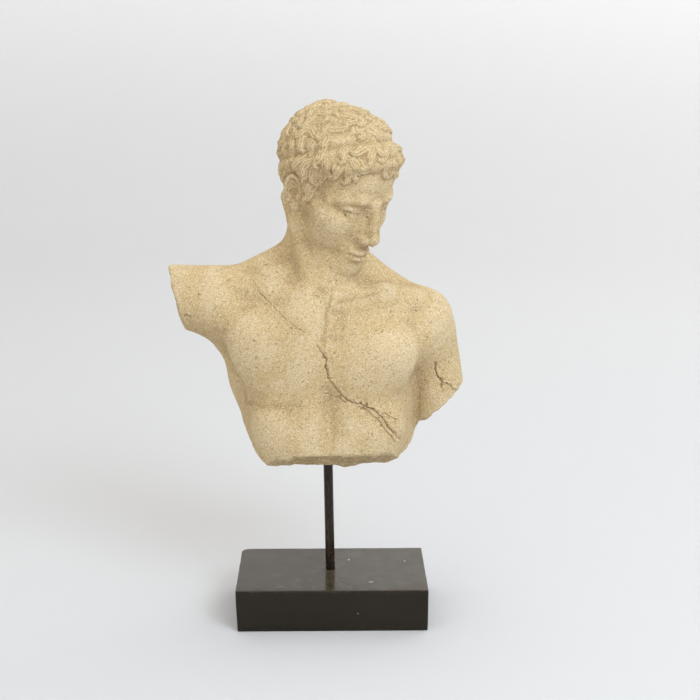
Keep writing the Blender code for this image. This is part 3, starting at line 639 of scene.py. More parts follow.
def hairDirection(angle, height):
    up = min(max((height - hairMiddle[2]) / hairRadii[2], -1), 1)
    level = math.sqrt(1 - up * up)
    return np.array((level * math.sin(math.radians(angle)), -level * math.cos(math.radians(angle)), up))


def bandDirection(angle):
    low, high = hairEdge(angle), hairMiddle[2] + hairRadii[2]
    for _ in range(20):
        height = (low + high) / 2
        if aboveBand((hairMiddle + hairDirection(angle, height) * hairRadii)[None])[0] > 0:
            high = height
        else:
            low = height
    return hairDirection(angle, height)


# Nought on the ear, one away from it
def clearOfEar(q):
    away = (q[:, 1:] - hair["earPlace"]) / hair["earReach"]
    clear = np.clip((np.linalg.norm(away, axis=1) - 0.95) / 0.35, 0, 1)
    return np.where(np.abs(q[:, 0]) > 24, clear, 1.0)


# The locks lie flatter behind the ears and down the nape
def napeFade(q):
    return np.where(q[:, 1] > 6, np.clip((q[:, 2] - 22) / 42, 0.35, 1), 1.0)


def outwardAt(spot):
    out = (spot - hairMiddle) / hairRadii**2
    return out / np.linalg.norm(out)


# Low wavy locks that stream from the crown, spread along a golden spiral
def crownLocks(draw):
    look = {**hair["lock"], **hair["crownLock"]}
    locks = []
    for i in range(look["count"]):
        height = 1 - 2 * (i + 0.5) / look["count"]
        angle = i * math.pi * (3 - math.sqrt(5))
        level = math.sqrt(1 - height * height)
        spot = hairMiddle + np.array((level * math.cos(angle), level * math.sin(angle), height)) * hairRadii
        if aboveBand(spot[None])[0] > look["clear"]:
            out = outwardAt(spot)
            aim = swung(spot - hairCrown, out, draw.uniform(-look["stray"], look["stray"]))
            locks.append(makeLock(spot, out, aim, look, draw))
    return locks


# Fuller locks in rows from the groove down over the hair's edge
def fringeLocks(draw):
    look = {**hair["lock"], **hair["fringeLock"]}
    locks = []
    for i in range(look["count"]):
        angle = -180 + 360 * (i + draw.uniform(-0.2, 0.2)) / look["count"]
        top = hairMiddle + bandDirection(angle) * hairRadii
        foot = hairMiddle + hairDirection(angle, hairEdge(angle) - hair["overhang"]) * hairRadii
        drop = np.linalg.norm(foot - top)
        rows = max(2, round(drop / look["rowDrop"]))
        for row in range(rows):
            share = (row + 0.5 + 0.4 * (i % 2) * (row < rows - 1)) / rows
            spot = top * (1 - share) + foot * share
            out = outwardAt(spot)
            spot = hairMiddle + (spot - hairMiddle) / np.linalg.norm((spot - hairMiddle) / hairRadii)
            aim = swung(foot - top, out, draw.uniform(-look["stray"], look["stray"]))
            locks.append(makeLock(spot, out, aim, look, draw))
    return locks


breaks = {  # where the cast ends: a point on each broken face, and the way it faces
    "chest": (
        ((0, 0, 1), (0, 0, -1)),
        ((0, -27, 2), (0.03, -0.6, -0.8)),
        ((30, -26, 4.5), (0.16, -0.55, -0.82)),
        ((0, 26, 4), (0, 0.4, -0.92)),
        ((-60, 0, 9), (-0.77, 0, -0.64)),
        ((69, 0, 16), (0.64, -0.12, -0.76)),
    ),
    "leftArm": (((92, 0, 45), (0.68, 0.0, -0.73)),),
    "rightArm": (((-125, 0, 138), (-0.963, -0.05, -0.268)),),
    "roughness": 2.2,
    "crumble": 0.55,
}


# Smooth random values from -1 to 1, with features of about the given size
def rough(p, size, seed=0.0):
    q = p / size
    cell = np.floor(q)
    f = q - cell
    f = f * f * (3 - 2 * f)
    total = np.zeros(len(p))
    for corner in np.ndindex(2, 2, 2):
        stirred = np.sin((cell + corner) @ np.array((127.1, 311.7, 74.7)) + seed) * 43758.5453
        share = np.where(np.array(corner, bool), f, 1 - f).prod(axis=1)
        total += share * (stirred - np.floor(stirred))
    return 2 * total - 1


def breakRipple(p):
    return breaks["roughness"] * (0.7 * rough(p, 13, 2.0) + 0.4 * rough(p, 5, 7.0))


def brokenOff(p, value, planes, ripple):
    for point, out in planes:
        d = (p - point) @ (np.array(out) / np.linalg.norm(out))
        value = -smoothMin(-value, -d - ripple, 1.5)
    return value


def onBreak(p):
    ripple = breakRipple(p)
    share = np.zeros(len(p))
    for name in ("chest", "leftArm", "rightArm"):
        for point, out in breaks[name]:
            d = (p - point) @ (np.array(out) / np.linalg.norm(out)) + ripple
            share = np.maximum(share, np.exp(-((d / 0.9) ** 2)))
    return share


class Figure:
    def __init__(self, socket):
        self.chest = chestClay()
        self.leftArm = [bar((82, 14, 104), (98, 19, 0), 23, 24.5)]
        self.rightArm = [bar((-100, 4, 138), (-150, 8, 138), 26, 27)]
        self.neck = neckClay()
        self.skull = skullClay() + eyeClay() + noseAndMouthClay()
        self.ear = earClay()
        self.socket = [socket]
        draw = random.Random(hair["seed"])
        self.locks = crownLocks(draw) + fringeLocks(draw)

    def distance(self, p):
        ripple = breakRipple(p)
        body = brokenOff(p, gathered(p, self.chest), breaks["chest"], ripple)
        left = brokenOff(p, gathered(p, self.leftArm), breaks["leftArm"], ripple)
        right = brokenOff(p, gathered(p, self.rightArm), breaks["rightArm"], ripple)
        body = smoothMin(smoothMin(body, left, 6), right, 10)
        body = smoothMin(gathered(p, self.neck, body), self.headDistance(p), 4)
        return gathered(p, self.socket, body)

    def headDistance(self, p):
        distance = np.full(len(p), 1000.0)
        near = np.linalg.norm(p - head["centre"], axis=1) < head["height"]
        q = intoHead(p[near])
        folded = q * np.array((-1.0, 1.0, 1.0))
        folded[:, 0] = np.abs(q[:, 0])
        skull = gathered(folded, self.skull) - hairDepth(q)
        distance[near] = gathered(folded, self.ear, skull) * headScale
        return distance

    # Moves the points onto the form; every second step reuses the slope of the one before
    def settle(self, p, steps):
        for step in range(steps):
            here = self.distance(p)
            if step % 2 == 0:
                shift = 0.05
                there = [self.distance(p + shift * np.eye(3)[i]) for i in range(3)]
                slope = np.stack([(t - here) / shift for t in there], axis=1)
                steep = np.maximum((slope**2).sum(axis=1), 0.2)
            p = p - np.clip(here / steep, -4, 4)[:, None] * slope
        return p

    def combed(self, p):
        q = intoHead(p)
        rise = np.zeros(len(p))
        for lock in self.locks:
            near = np.linalg.norm(q - lock["middle"], axis=1) < lock["reach"]
            if near.any():
                rise[near] = np.maximum(rise[near], lock["rise"](q[near]))
        rise *= clearOfEar(q) * napeFade(q)
        out = (q - hairMiddle) / hairRadii**2
        out /= np.linalg.norm(out, axis=1)[:, None]
        return p + (rise * headScale)[:, None] * (out @ headTurn.T)


def crackLine(points, width, depth, step, chips=0.8, shade=1.0, broken=False):
    return {
        "points": points,
        "width": width,
        "depth": depth,
        "step": step,  # how far one side lies below the other
        "chips": chips,
        "shade": shade,
        "broken": broken,
    }


def creaseLine(points, width, depth, soft=False):
    return {"points": points, "width": width, "depth": depth, "soft": soft}


ribPoints = (
    (-11.8, 111), (-8, 105), (-3.5, 98), (-4.4, 91), (-1.9, 82), (3.2, 74), (8.2, 67), (13.3, 63),
    (21, 60.4), (28.6, 58.4), (37.2, 53), (42.3, 46.8), (47.5, 39.3), (52.8, 32.8), (57, 25),
)
ledgePoints = ((17, 59), (26, 55.8), (34, 50.6), (39.3, 44.3), (44, 37.6), (49, 31), (53, 24))
breastPoints = (
    (-65, 159), (-61, 153), (-57.5, 148), (-51.5, 142), (-43.8, 135.7), (-30.3, 125.8), (-20, 119),
)
armPoints = ((87.5, 85.7), (86.4, 79.7), (87.8, 73.9), (92.7, 67.8), (92, 61.5))
breastbonePoints = (
    (1.3, 157), (-0.2, 143.5), (-2.2, 134), (-3.2, 125.4), (-4.7, 115.7), (-5.4, 106), (-5.9, 95),
)
collarPoints = ((-2, 139), (11.2, 142), (25, 144), (39.4, 149), (51.5, 151))
foldPoints = ((-73, 51), (-62, 54.7), (-49.6, 56), (-35, 56), (-21, 59))
bellyPoints = ((-3.9, 79), (-1.6, 69.4), (-1.1, 57.4), (-0.1, 48.5), (1.2, 39.3), (2.3, 22))
cracks = {  # each runs through points across and up the front, in mm
    "rib": crackLine(ribPoints, 1.0, 1.25, 0.9, chips=1.9),
    "ribLedge": crackLine(ledgePoints, 0.65, 0.8, 0.4, chips=1.9),
    "ribFlake": crackLine(((2.2, 66.5), (6.8, 63.4), (12.5, 60.6)), 0.7, 1.2, 0.3),
    "ribTick": crackLine(((28.2, 61), (28, 58.2), (28.8, 55.8)), 0.7, 1.2, 0.2),
    "ribBranch": crackLine(((40, 52.8), (47.6, 47.6), (55, 43)), 0.6, 0.9, 0.2),
    "ribEnd": crackLine(((-7, 68.2), (-0.2, 66.5), (7.5, 65.6)), 0.55, 0.8, 0.2),
    "breast": crackLine(breastPoints, 0.7, 0.8, 0.15, shade=0.5, broken=True),
    "arm": crackLine(armPoints, 1.1, 1.8, 0.6, chips=1.6),
    "armBranch": crackLine(((92.7, 67.8), (100.2, 63.7), (105, 58)), 0.7, 1.1, 0.4),
    "stump": crackLine(((-119.5, 127.5), (-117.1, 129), (-113, 125.5)), 0.9, 1.3, 0.6),
}
creases = {  # carved furrows with a sharp bottom, or soft hollows, laid out in the same way
    "breastbone": creaseLine(breastbonePoints, 3.2, 2.1),
    "collar": creaseLine(collarPoints, 6.5, 2.3),
    "fold": creaseLine(foldPoints, 4.0, 0.9),
    "breastSlope": creaseLine(((6, 140), (3, 131), (1, 121), (0, 108)), 7.5, 1.9, soft=True),
    "bellySlope": creaseLine(((3, 70), (3.5, 57), (5, 45), (6.5, 28)), 6.5, 1.5, soft=True),
    "belly": creaseLine(bellyPoints, 3.6, 1.8),
}
crackWander = 0.8  # mm that a crack strays from its line
frontMargin = 14.0  # mm round a line where it is looked for


# How near each point of the front is to a line: its distance, its share along and its side
def besideLine(p, line, wander):
    warp = np.stack((rough(p, 3.4, 21.0), rough(p, 3.4, 33.0)), axis=1)
    jolt = np.stack((rough(p, 1.3, 41.0), rough(p, 1.3, 53.0)), axis=1)
    q = p[:, (0, 2)] + wander * (warp + 0.5 * jolt)
    points = np.array(line["points"], float)
    lengths = np.linalg.norm(np.diff(points, axis=0), axis=1)
    starts = np.concatenate(((0,), np.cumsum(lengths)))
    best = np.full(len(p), 1000.0)
    along = np.zeros(len(p))
    side = np.zeros(len(p))
    for a, b, length, start in zip(points, points[1:], lengths, starts):
        run = (b - a) / length
        d = q - a
        t = np.clip(d @ run, 0, length)
        away = np.linalg.norm(d - t[:, None] * run, axis=1)
        closer = away < best
        best[closer] = away[closer]
        along[closer] = ((start + t) / starts[-1])[closer]
        side[closer] = np.sign(d[:, 0] * run[1] - d[:, 1] * run[0])[closer]
    return best, along, side


def frontNear(p, facing, line):
    middle = np.mean(line["points"], axis=0)
    reach = np.linalg.norm(np.array(line["points"]) - middle, axis=1).max() + frontMargin
    return np.nonzero((facing[:, 1] < -0.15) & (np.linalg.norm(p[:, (0, 2)] - middle, axis=1) < reach))[0]


def crackSink(p, facing):
    sink = np.zeros(len(p))
    mask = np.zeros(len(p))
    for crack in cracks.values():
        near = frontNear(p, facing, crack)
        q = p[near]
        away, along, side = besideLine(q, crack, crackWander)
        taper = np.clip(np.minimum(along, 1 - along) * 9, 0, 1) ** 0.7
        width = crack["width"] * (1 + 0.8 * rough(q, 3.6, 5.0))
        groove = np.exp(-((away / width) ** 2)) * taper
        lip = 0.32 * np.exp(-(((away - 2.0 * width) / width) ** 2)) * taper
        flaked = np.clip(rough(q, 2.4, 9.0) - 0.15, 0, 1) * np.exp(-((away / 3.0) ** 2)) * taper
        step = crack["step"] * side * np.exp(-away / 3.5) * taper
        deep = crack["depth"] * (0.75 + 0.5 * rough(q, 6, 3.0))
        if crack["broken"]:
            groove *= np.clip(0.25 + 2.2 * rough(q, 4.5, 13.0), 0, 1)
        sink[near] += deep * groove + crack["chips"] * flaked - lip + step
        # the painted shade follows the groove's depth
        mask[near] = np.maximum(mask[near], groove * crack["shade"])
    for crease in creases.values():
        near = frontNear(p, facing, crease)
        away, along, _ = besideLine(p[near], crease, 0.3)
        taper = np.clip(np.minimum(along, 1 - along) * 5, 0, 1)
        fall = away / crease["width"]
        sink[near] += crease["depth"] * np.exp(-fall**2 if crease["soft"] else -fall) * taper
    return sink, mask


def pointsOf(mesh):
    flat = np.zeros(len(mesh.vertices) * 3)
    mesh.vertices.foreach_get("co", flat)
    return flat.reshape(-1, 3)


def facingOf(mesh):
    flat = np.zeros(len(mesh.vertices) * 3)
    mesh.vertices.foreach_get("normal", flat)
    return flat.reshape(-1, 3)


def putPoints(mesh, points):
    mesh.vertices.foreach_set("co", points.astype(np.float32).ravel())
    mesh.update()


def evened(mesh, values, rounds=1):
    edges = np.zeros(len(mesh.edges) * 2, int)
    mesh.edges.foreach_get("vertices", edges)
    here = np.concatenate((edges[0::2], edges[1::2]))
    there = np.concatenate((edges[1::2], edges[0::2]))
    count = len(mesh.vertices)
    share = np.maximum(np.bincount(here, minlength=count), 1)
    for _ in range(rounds):
        values = np.stack([np.bincount(here, column[there], count) / share for column in values.T], axis=1)
    return values


def putMask(mesh, name, values):
    mask = mesh.attributes.new(name, "FLOAT", "POINT")
    mask.data.foreach_set("value", np.clip(values, 0, 1).astype(np.float32))


# A copy of an object's evaluated mesh, and the object removed
def takeMesh(made):
    shown = made.evaluated_get(bpy.context.evaluated_depsgraph_get())
    mesh = bpy.data.meshes.new_from_object(shown)
    old = made.data
    bpy.data.objects.remove(made)
    bpy.data.meshes.remove(old)
    return mesh


def addObject(name, mesh):
    made = bpy.data.objects.new(name, mesh)
    bpy.context.scene.collection.objects.link(made)
    return made


def reskinned(mesh, grain):
    clay = addObject("clay", mesh)
    skin = clay.modifiers.new("skin", "REMESH")
    skin.mode = "VOXEL"
    skin.voxel_size = grain
    return takeMesh(clay)


def thinned(mesh, triangles):
    clay = addObject("clay", mesh)
    fewer = clay.modifiers.new("fewer", "DECIMATE")
    fewer.ratio = min(1.0, triangles / sum(len(f.vertices) - 2 for f in mesh.polygons))
    return takeMesh(clay)


# Halves the grain of the mesh where its points are wanted
def split(mesh, wanted):
    bm = bmesh.new()
    bm.from_mesh(mesh)
    edges = [e for e in bm.edges if wanted[e.verts[0].index] and wanted[e.verts[1].index]]
    bmesh.ops.subdivide_edges(bm, edges=edges, cuts=1, use_grid_fill=True)
    bm.to_mesh(mesh)
    bm.free()


def nearCracks(p, facing, reach):
    wanted = np.zeros(len(p), bool)
    front = np.nonzero(facing[:, 1] < -0.1)[0]
    for crack in cracks.values():
        away, _, _ = besideLine(p[front], crack, crackWander)
        wanted[front] |= away < reach
    return wanted


bust = {
    "rodDepth": 60.0,  # mm of rod inside the bust
    "socketRadius": 4.3,
    "socketEnds": (-60.0, 56.0),  # below and above the broken foot
    "grain": 1.3,
    "headReach": 82.0,  # finer skin this near to the head's middle
    "crackReaches": (5.0, 3.5),  # and twice finer still this near to a crack
    "triangles": 192000,
    "crumbs": ((3.1, 4.0, 0.6), (1.7, 6.0, 0.4)),  # size in mm, seed, share
    "hollowRounds": ((3, 3.0), (14, 0.42)),  # smoothing rounds, and how strongly they shade
}


# The middle of the leaning rod at a height, in mm
def rodMiddle(z):
    p = pointsOf(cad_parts["support_rod"].data) / mm
    upper = p[:, 2] > p[:, 2].mean()
    low, high = p[~upper].mean(axis=0), p[upper].mean(axis=0)
    return low + (high - low) * (z - low[2]) / (high[2] - low[2])


def makeBust():
    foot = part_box("support_rod")[1].z / mm - bust["rodDepth"]
    under = np.array((0, 0, foot))
    ends = [rodMiddle(foot + end) - under for end in bust["socketEnds"]]
    figure = Figure(bar(*ends, bust["socketRadius"], bust["socketRadius"], 0.3, True))
    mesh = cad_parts["bust"].data.copy()
    mesh.materials.clear()
    putPoints(mesh, pointsOf(mesh) / mm - under)
    mesh = reskinned(mesh, bust["grain"])
    p = figure.settle(pointsOf(mesh), 2)
    putPoints(mesh, evened(mesh, p))
    print("bust: skin of", len(mesh.vertices), "points")
    p = pointsOf(mesh)
    onHead = np.linalg.norm(p - head["centre"], axis=1) < bust["headReach"]
    split(mesh, onHead & (intoHead(p)[:, 2] > 2))
    for reach in bust["crackReaches"]:
        p = pointsOf(mesh)
        split(mesh, nearCracks(p, facingOf(mesh), reach))
    p = figure.settle(pointsOf(mesh), 2)
    print("bust: settled", len(p), "points")
    putPoints(mesh, figure.combed(p))
    facing = facingOf(mesh)
    p = pointsOf(mesh)
    sink, _ = crackSink(p, facing)
    crumbs = sum(share * rough(p, size, seed) for size, seed, share in bust["crumbs"])
    sink += breaks["crumble"] * onBreak(p) * crumbs
    putPoints(mesh, p - facing * sink[:, None])
    mesh = thinned(mesh, bust["triangles"])
    print("bust: finished with", len(mesh.polygons), "faces")
    p, facing = pointsOf(mesh), facingOf(mesh)
    # Painted shade for the hollows and painted light for the crests: how far each point lies below or above
    # its smoothed neighbours
    dip = np.zeros(len(p))
    for rounds, gain in bust["hollowRounds"]:
        dip += ((evened(mesh, p, rounds) - p) * facing).sum(axis=1) * gain
    _, crackShade = crackSink(p, facing)
    putMask(mesh, "hollow", dip)
    putMask(mesh, "crest", -dip)
    putMask(mesh, "crack", crackShade)
    putMask(mesh, "broken", onBreak(p))
    putPoints(mesh, (p + under) * mm)
    mesh.shade_smooth()
    made = addObject("youthBust", mesh)
    mesh.materials.append(makeSandstone())
    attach(made, "root")
    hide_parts("bust")


paint = {
    "coat": (0.0095, 0.0060, 0.0015, 1),
    "rubbed": (0.038, 0.024, 0.013, 1),
    # painted light: the top's lit colour, and a broader pool of light over its right part
    "litTop": (0.046, 0.032, 0.017, 1),
    "lightPool": (0.080, 0.068, 0.052, 1),
    "lightPoolSpot": ((50.0, 5.0, 37.0), (1, 1, 1), 62.0),  # place in mm, stretch, radius in mm
    "dust": (0.30, 0.27, 0.23, 1),
    "chip": (0.75, 0.72, 0.66, 1),
    "gloss": 0.17,
    "specular": 0.33,
    "specks": (  # bare specks, laid out in the same way
        ((14.9, 18.8, 37.0), (1, 1.6, 1), 0.75),
        ((64.2, 15.2, 37.0), (1.2, 1.4, 1), 0.5),
        ((33.1, -27.8, 37.0), (7, 1, 1), 0.35),
        ((21.8, -45.0, 16.3), (1.5, 1, 1), 0.3),
    ),
}


def spotted(tree, place, middle, stretch, radius):
    middle = tuple(value * mm for value in middle)
    return placeGroup(tree, "spot", Place=place, Middle=middle, Stretch=stretch, Radius=radius)["Spot"]


def makePaint():
    look = paint
    made, tree, shader, place = makeMaterial("blackPaint", look["gloss"], specular=look["specular"])
    strokes = placeGroup(tree, "clouds", Place=place, Size=2.6, Stretch=(26, 1, 1), Detail=1.5)["Tone"]
    sweeps = placeGroup(tree, "clouds", Place=place, Size=12.0, Stretch=(7, 1, 1), Detail=3.0)["Tone"]
    wearAndShading = placeGroup(tree, "wearAndShading", Place=place, Mask=maskOf(tree, "edge"), Amount=0.75, Size=5.0)["WearAndShading"]
    streaks = times(tree, strokes, times(tree, sweeps, 0.28))
    colour = mixed(tree, streaks, look["coat"], look["rubbed"])
    # Painted light: the top is lighter where light falls on it, less along the strokes
    facing = put(tree, "ShaderNodeTexCoord").outputs["Normal"]
    upward = put(tree, "ShaderNodeSeparateXYZ", {0: facing}).outputs["Z"]
    litTop = ramped(tree, times(tree, strokes, sweeps), 0.0, 1.0, 0.8, 0.35)
    top = ramped(tree, upward, 0.6, 1.0)
    colour = mixed(tree, times(tree, top, litTop), colour, look["litTop"])
    # Painted light: a broad pool of it over the right of the top
    lightPool = times(tree, top, spotted(tree, place, *look["lightPoolSpot"]))
    colour = tinted(tree, colour, look["lightPool"], lightPool, 0.5)
    colour = tinted(tree, colour, look["rubbed"], wearAndShading, 0.35)
    dust = placeGroup(tree, "dust", Place=place, Facing=facing, Amount=0.05)["Dust"]
    colour = mixed(tree, dust, colour, look["dust"])
    for speck in look["specks"]:
        colour = mixed(tree, spotted(tree, place, *speck), colour, look["chip"])
    tree.links.new(colour, shader.inputs["Base Color"])
    sheen = sums(tree, "ADD", times(tree, strokes, 0.04), times(tree, sweeps, 0.07))
    gloss = sums(tree, "ADD", sheen, look["gloss"] - 0.04)
    tree.links.new(gloss, shader.inputs["Roughness"])
    bumped(tree, shader, strokes, 0.03, 0.5)
    return made


block = {
    "edge": 0.8,  # mm
    "edgeSteps": 4,
    "edgeReach": 3.0,  # how far in from an edge the wear shows
    "spacing": 3.0,
    "cornerRadii": (1.0, 0.9, 1.2, 7.0),  # front left, front right, back right, back left
    "sanding": 0.16,  # uneven hand sanding of the edges
    "taper": 1.2,  # the left side draws in towards the floor
    "taperReach": 12.0,
    "bead": 0.45,  # paint that crept up round the rod
    "beadWidth": 2.2,
    "rodGap": 0.3,
    "holeDepth": 18.0,
    "rings": (0.03, 0.08, 0.16, 0.3, 0.45, 0.6, 0.72, 0.82, 0.9, 0.95, 0.98, 1.0),  # from rim to rod
    "dents": (  # place and radius in mm
        (-62, -45, 37, 1.8), (31, -45, 37, 1.3), (81, -12, 37, 1.6), (80, -44, 2, 2.2), (-81, 18, 37, 1.4),
    ),
    "dentDepth": 0.5,
}


# The block's plan as points with their outward directions, anticlockwise from the front left
def blockOutline(halfWidth, halfDepth):
    arcs = []
    corners = ((-1, -1, 180), (1, -1, 270), (1, 1, 0), (-1, 1, 90))
    for (x, y, start), radius in zip(corners, block["cornerRadii"]):
        middle = (x * halfWidth - x * radius, y * halfDepth - y * radius)
        for step in range(9):
            a = math.radians(start + 90 * step / 8)
            out = (math.cos(a), math.sin(a))
            arcs.append((middle[0] + radius * out[0], middle[1] + radius * out[1], *out))
    outline = []
    for (x, y, *out), after in zip(arcs, arcs[1:] + arcs[:1]):
        outline.append((x, y, *out))
        run = (after[0] - x, after[1] - y)
        count = int(math.hypot(*run) / block["spacing"])
        for k in range(1, count):
            outline.append((x + run[0] * k / count, y + run[1] * k / count, *out))
    return np.array(outline)


# Rings of points up the sides and over the top, to the rod and down beside it
def blockRings(width, depth, height):
    edge = block["edge"]
    outline = blockOutline(width, depth)
    axis = rodMiddle(height)[:2]
    rodLow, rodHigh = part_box("support_rod")
    rim = (rodHigh.y - rodLow.y) / 2 / mm + block["rodGap"]
    sides = outline[:, :2] - axis
    inner = axis + sides / np.linalg.norm(sides, axis=1)[:, None] * rim
    arc = [math.radians(90 * k / block["edgeSteps"]) for k in range(block["edgeSteps"] + 1)]
    profile = [(edge * (1 - math.sin(a)), edge * (1 - math.cos(a))) for a in arc]
    profile += [(0, z) for z in np.linspace(edge, height - edge, 12)[1:-1]]
    profile += [(edge * (1 - math.sin(a)), height - edge * (1 - math.cos(a))) for a in reversed(arc)]
    rings = [(outline[:, :2] - outline[:, 2:] * inset, z) for inset, z in profile]
    top = outline[:, :2] - outline[:, 2:] * edge
    for share in block["rings"]:
        ring = top * (1 - share) + inner * share
        away = np.linalg.norm(ring - axis, axis=1) - rim
        rings.append((ring, height + block["bead"] * np.exp(-((away / block["beadWidth"]) ** 2))))
    rings.append((inner, height - block["holeDepth"]))
    return rings


# Uneven sanding near the edges, and dents
def blockWear(p, nearEdge):
    wornAndShading = block["sanding"] * nearEdge * (0.5 + 0.5 * rough(p, 9, 1.0))
    for x, y, z, radius in block["dents"]:
        wornAndShading += block["dentDepth"] * np.exp(-(((p - (x, y, z)) ** 2).sum(axis=1)) / radius**2)
    return wornAndShading


def makeBlock():
    high = np.array(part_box("base_block")[1]) / mm
    height = high[2]
    bm = bmesh.new()
    loops = []
    for ring, z in blockRings(*high):
        tall = np.broadcast_to(z, len(ring))
        loops.append([bm.verts.new((x, y, t)) for (x, y), t in zip(ring, tall)])
    for lower, upper in zip(loops, loops[1:]):
        for i in range(len(lower)):
            j = (i + 1) % len(lower)
            bm.faces.new((lower[i], lower[j], upper[j], upper[i]))
    bm.faces.new(list(reversed(loops[0])))
    bm.faces.new(loops[-1])
    mesh = bpy.data.meshes.new("block")
    bm.to_mesh(mesh)
    bm.free()
    p = pointsOf(mesh)
    reach = block["edgeReach"]
    beyond = np.abs(p - (0, 0, height / 2)) - (high[0], high[1], height / 2) + reach
    nearEdge = np.clip(np.sort(np.maximum(beyond, 0) / reach, axis=1)[:, 1], 0, 1)
    wornAndShading = blockWear(p, nearEdge)
    drawnIn = block["taper"] * (1 - np.clip(p[:, 2] / height, 0, 1)) ** 1.5
    p[:, 0] += drawnIn * (p[:, 0] < block["taperReach"] - high[0])
    p -= facingOf(mesh) * wornAndShading[:, None]
    p[:, 2] = np.maximum(p[:, 2], 0)
    putPoints(mesh, p * mm)
    putMask(mesh, "edge", nearEdge**1.5)
    mesh.shade_smooth()
    mesh.set_sharp_from_angle(angle=math.radians(50))
    made = addObject("paintedBlock", mesh)
    mesh.materials.append(makePaint())
    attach(made, "root")
    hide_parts("base_block")
    print("block: finished with", len(mesh.polygons), "faces")


steel = {
    "dark": (0.017, 0.010, 0.005, 1),
    "rubbed": (0.070, 0.044, 0.025, 1),
    "dust": (0.30, 0.27, 0.23, 1),
    "roughness": 0.25,
}


def finishRod():
    look = steel
    made, tree, shader, place = makeMaterial("darkSteel", look["roughness"], metallic=0.35, specular=0.4)
    drawn = placeGroup(tree, "clouds", Place=place, Size=1.1, Stretch=(1, 1, 40))["Tone"]
    blotch = placeGroup(tree, "clouds", Place=place, Size=7.0, Stretch=(1, 1, 2))["Tone"]
    wearAndShading = placeGroup(tree, "wearAndShading", Place=place, Mask=drawn, Amount=0.6, Size=14.0)["WearAndShading"]
    colour = tinted(tree, look["dark"], look["rubbed"], wearAndShading, 0.5)
    facing = put(tree, "ShaderNodeTexCoord").outputs["Normal"]
    dust = placeGroup(tree, "dust", Place=place, Facing=facing, Amount=0.2)["Dust"]
    colour = mixed(tree, dust, colour, look["dust"])
    tree.links.new(colour, shader.inputs["Base Color"])
    gloss = sums(tree, "ADD", times(tree, blotch, 0.14), look["roughness"] - 0.07)
    tree.links.new(gloss, shader.inputs["Roughness"])
    bumped(tree, shader, drawn, 0.03, 0.5)
    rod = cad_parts["support_rod"]
    rod.data.materials.clear()
    rod.data.materials.append(made)
    print("rod: finished")


studio = {
    "floor": (0.592, 0.598, 0.612, 1),
    "wall": (0.935, 0.942, 0.955, 1),
    "flatRadius": 1.7,  # metres
    "coveRadius": 1.3,
    "wallTop": 3.4,
    "turns": 96,
    "leftShade": 0.06,  # the paper falls off a little towards the left
    "shadeTint": (0.2, 0.2, 0.2, 1),
    "shadeReach": 1.3,  # metres to either side
    "sky": (1.0, 0.972, 0.93, 1),
    "skyStrength": 1.31,
    "lights": {  # place, aim and size in metres, power in watts
        "window": {
            "place": (0.9, -1.2, 1.35),
            "aim": (0.0, 0.0, 0.26),
            "size": 0.8,
            "power": 19.6,
            "colour": (0.81, 0.91, 1.0),
        },
        "bounce": {
            "place": (-0.9, -1.5, 0.5),
            "aim": (0.0, 0.0, 0.26),
            "size": 1.2,
            "power": 3.4,
            "colour": (1.0, 0.88, 0.55),
        },
        "backdrop": {  # shines away from the bust, onto the paper behind it
            "place": (1.3, 0.9, 1.8),
            "aim": (0.9, 3.0, 0.2),
            "size": 1.2,
            "power": 11.5,
            "colour": (1.0, 0.98, 0.95),
        },
    },
}


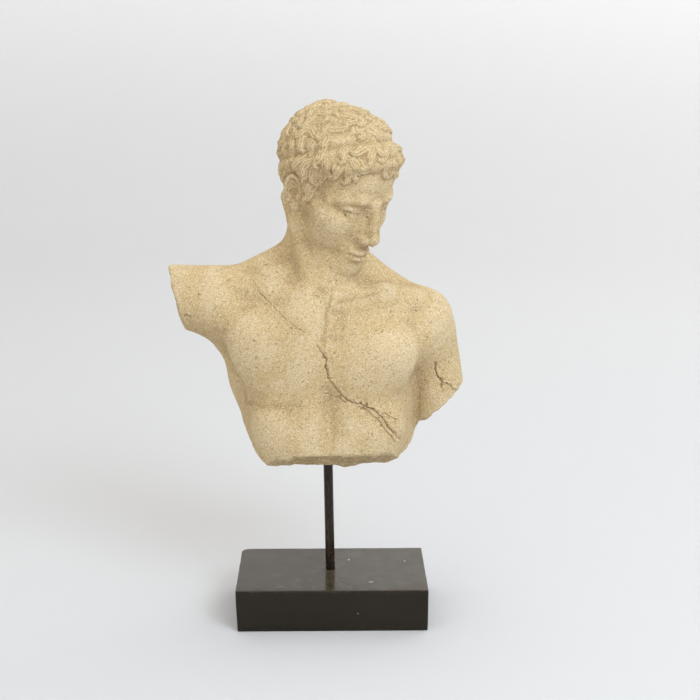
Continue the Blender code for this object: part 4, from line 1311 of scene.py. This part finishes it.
# A round floor of pale paper that curves up into a wall all round, open at the top
def makeStudio():
    scene = bpy.context.scene
    scene.view_settings.view_transform = "Standard"
    flat, cove = studio["flatRadius"], studio["coveRadius"]
    profile = [(flat * k / 4, 0.0) for k in range(1, 5)]
    for k in range(1, 13):
        a = math.radians(90 * k / 12)
        profile.append((flat + cove * math.sin(a), cove * (1 - math.cos(a))))
    profile.append((flat + cove, studio["wallTop"]))
    count = studio["turns"]
    turns = [2 * math.pi * i / count for i in range(count)]
    bm = bmesh.new()
    middle = bm.verts.new((0, 0, 0))
    loops = [[bm.verts.new((r * math.cos(a), r * math.sin(a), z)) for a in turns] for r, z in profile]
    for i in range(count):
        j = (i + 1) % count
        bm.faces.new((middle, loops[0][i], loops[0][j]))
        for lower, upper in zip(loops, loops[1:]):
            bm.faces.new((lower[i], upper[i], upper[j], lower[j]))
    bmesh.ops.recalc_face_normals(bm, faces=bm.faces)
    mesh = bpy.data.meshes.new("paper")
    bm.to_mesh(mesh)
    bm.free()
    mesh.shade_smooth()
    floor = addObject("paper", mesh)
    made, tree, shader, place = makeMaterial("palePaper", 0.9, specular=0.2)
    height = put(tree, "ShaderNodeSeparateXYZ", {0: place}).outputs["Z"]
    paper = mixed(tree, ramped(tree, height, 0.0, studio["coveRadius"]), studio["floor"], studio["wall"])
    across = put(tree, "ShaderNodeSeparateXYZ", {0: place}).outputs["X"]
    shade = ramped(tree, across, -studio["shadeReach"], studio["shadeReach"], studio["leftShade"], 0.0)
    tree.links.new(mixed(tree, shade, paper, studio["shadeTint"]), shader.inputs["Base Color"])
    mesh.materials.append(made)
    world = bpy.data.worlds.new("studio")
    world.use_nodes = True
    sky = world.node_tree.nodes["Background"]
    sky.inputs["Color"].default_value = studio["sky"]
    sky.inputs["Strength"].default_value = studio["skyStrength"]
    scene.world = world
    for name, lamp in studio["lights"].items():
        data = bpy.data.lights.new(name, "AREA")
        data.size = lamp["size"]
        data.energy = lamp["power"]
        data.color = lamp["colour"]
        light = bpy.data.objects.new(name, data)
        light.location = lamp["place"]
        aim = Vector(lamp["aim"]) - light.location
        light.rotation_euler = aim.to_track_quat("-Z", "Y").to_euler()
        light.visible_camera = False
        scene.collection.objects.link(light)


makeCamera()
makeStudio()
makeGrainGroup()
makeCloudGroup()
makeWearAndShadingGroup()
makeSpotGroup()
makeDustGroup()
makeBust()
makeBlock()
finishRod()
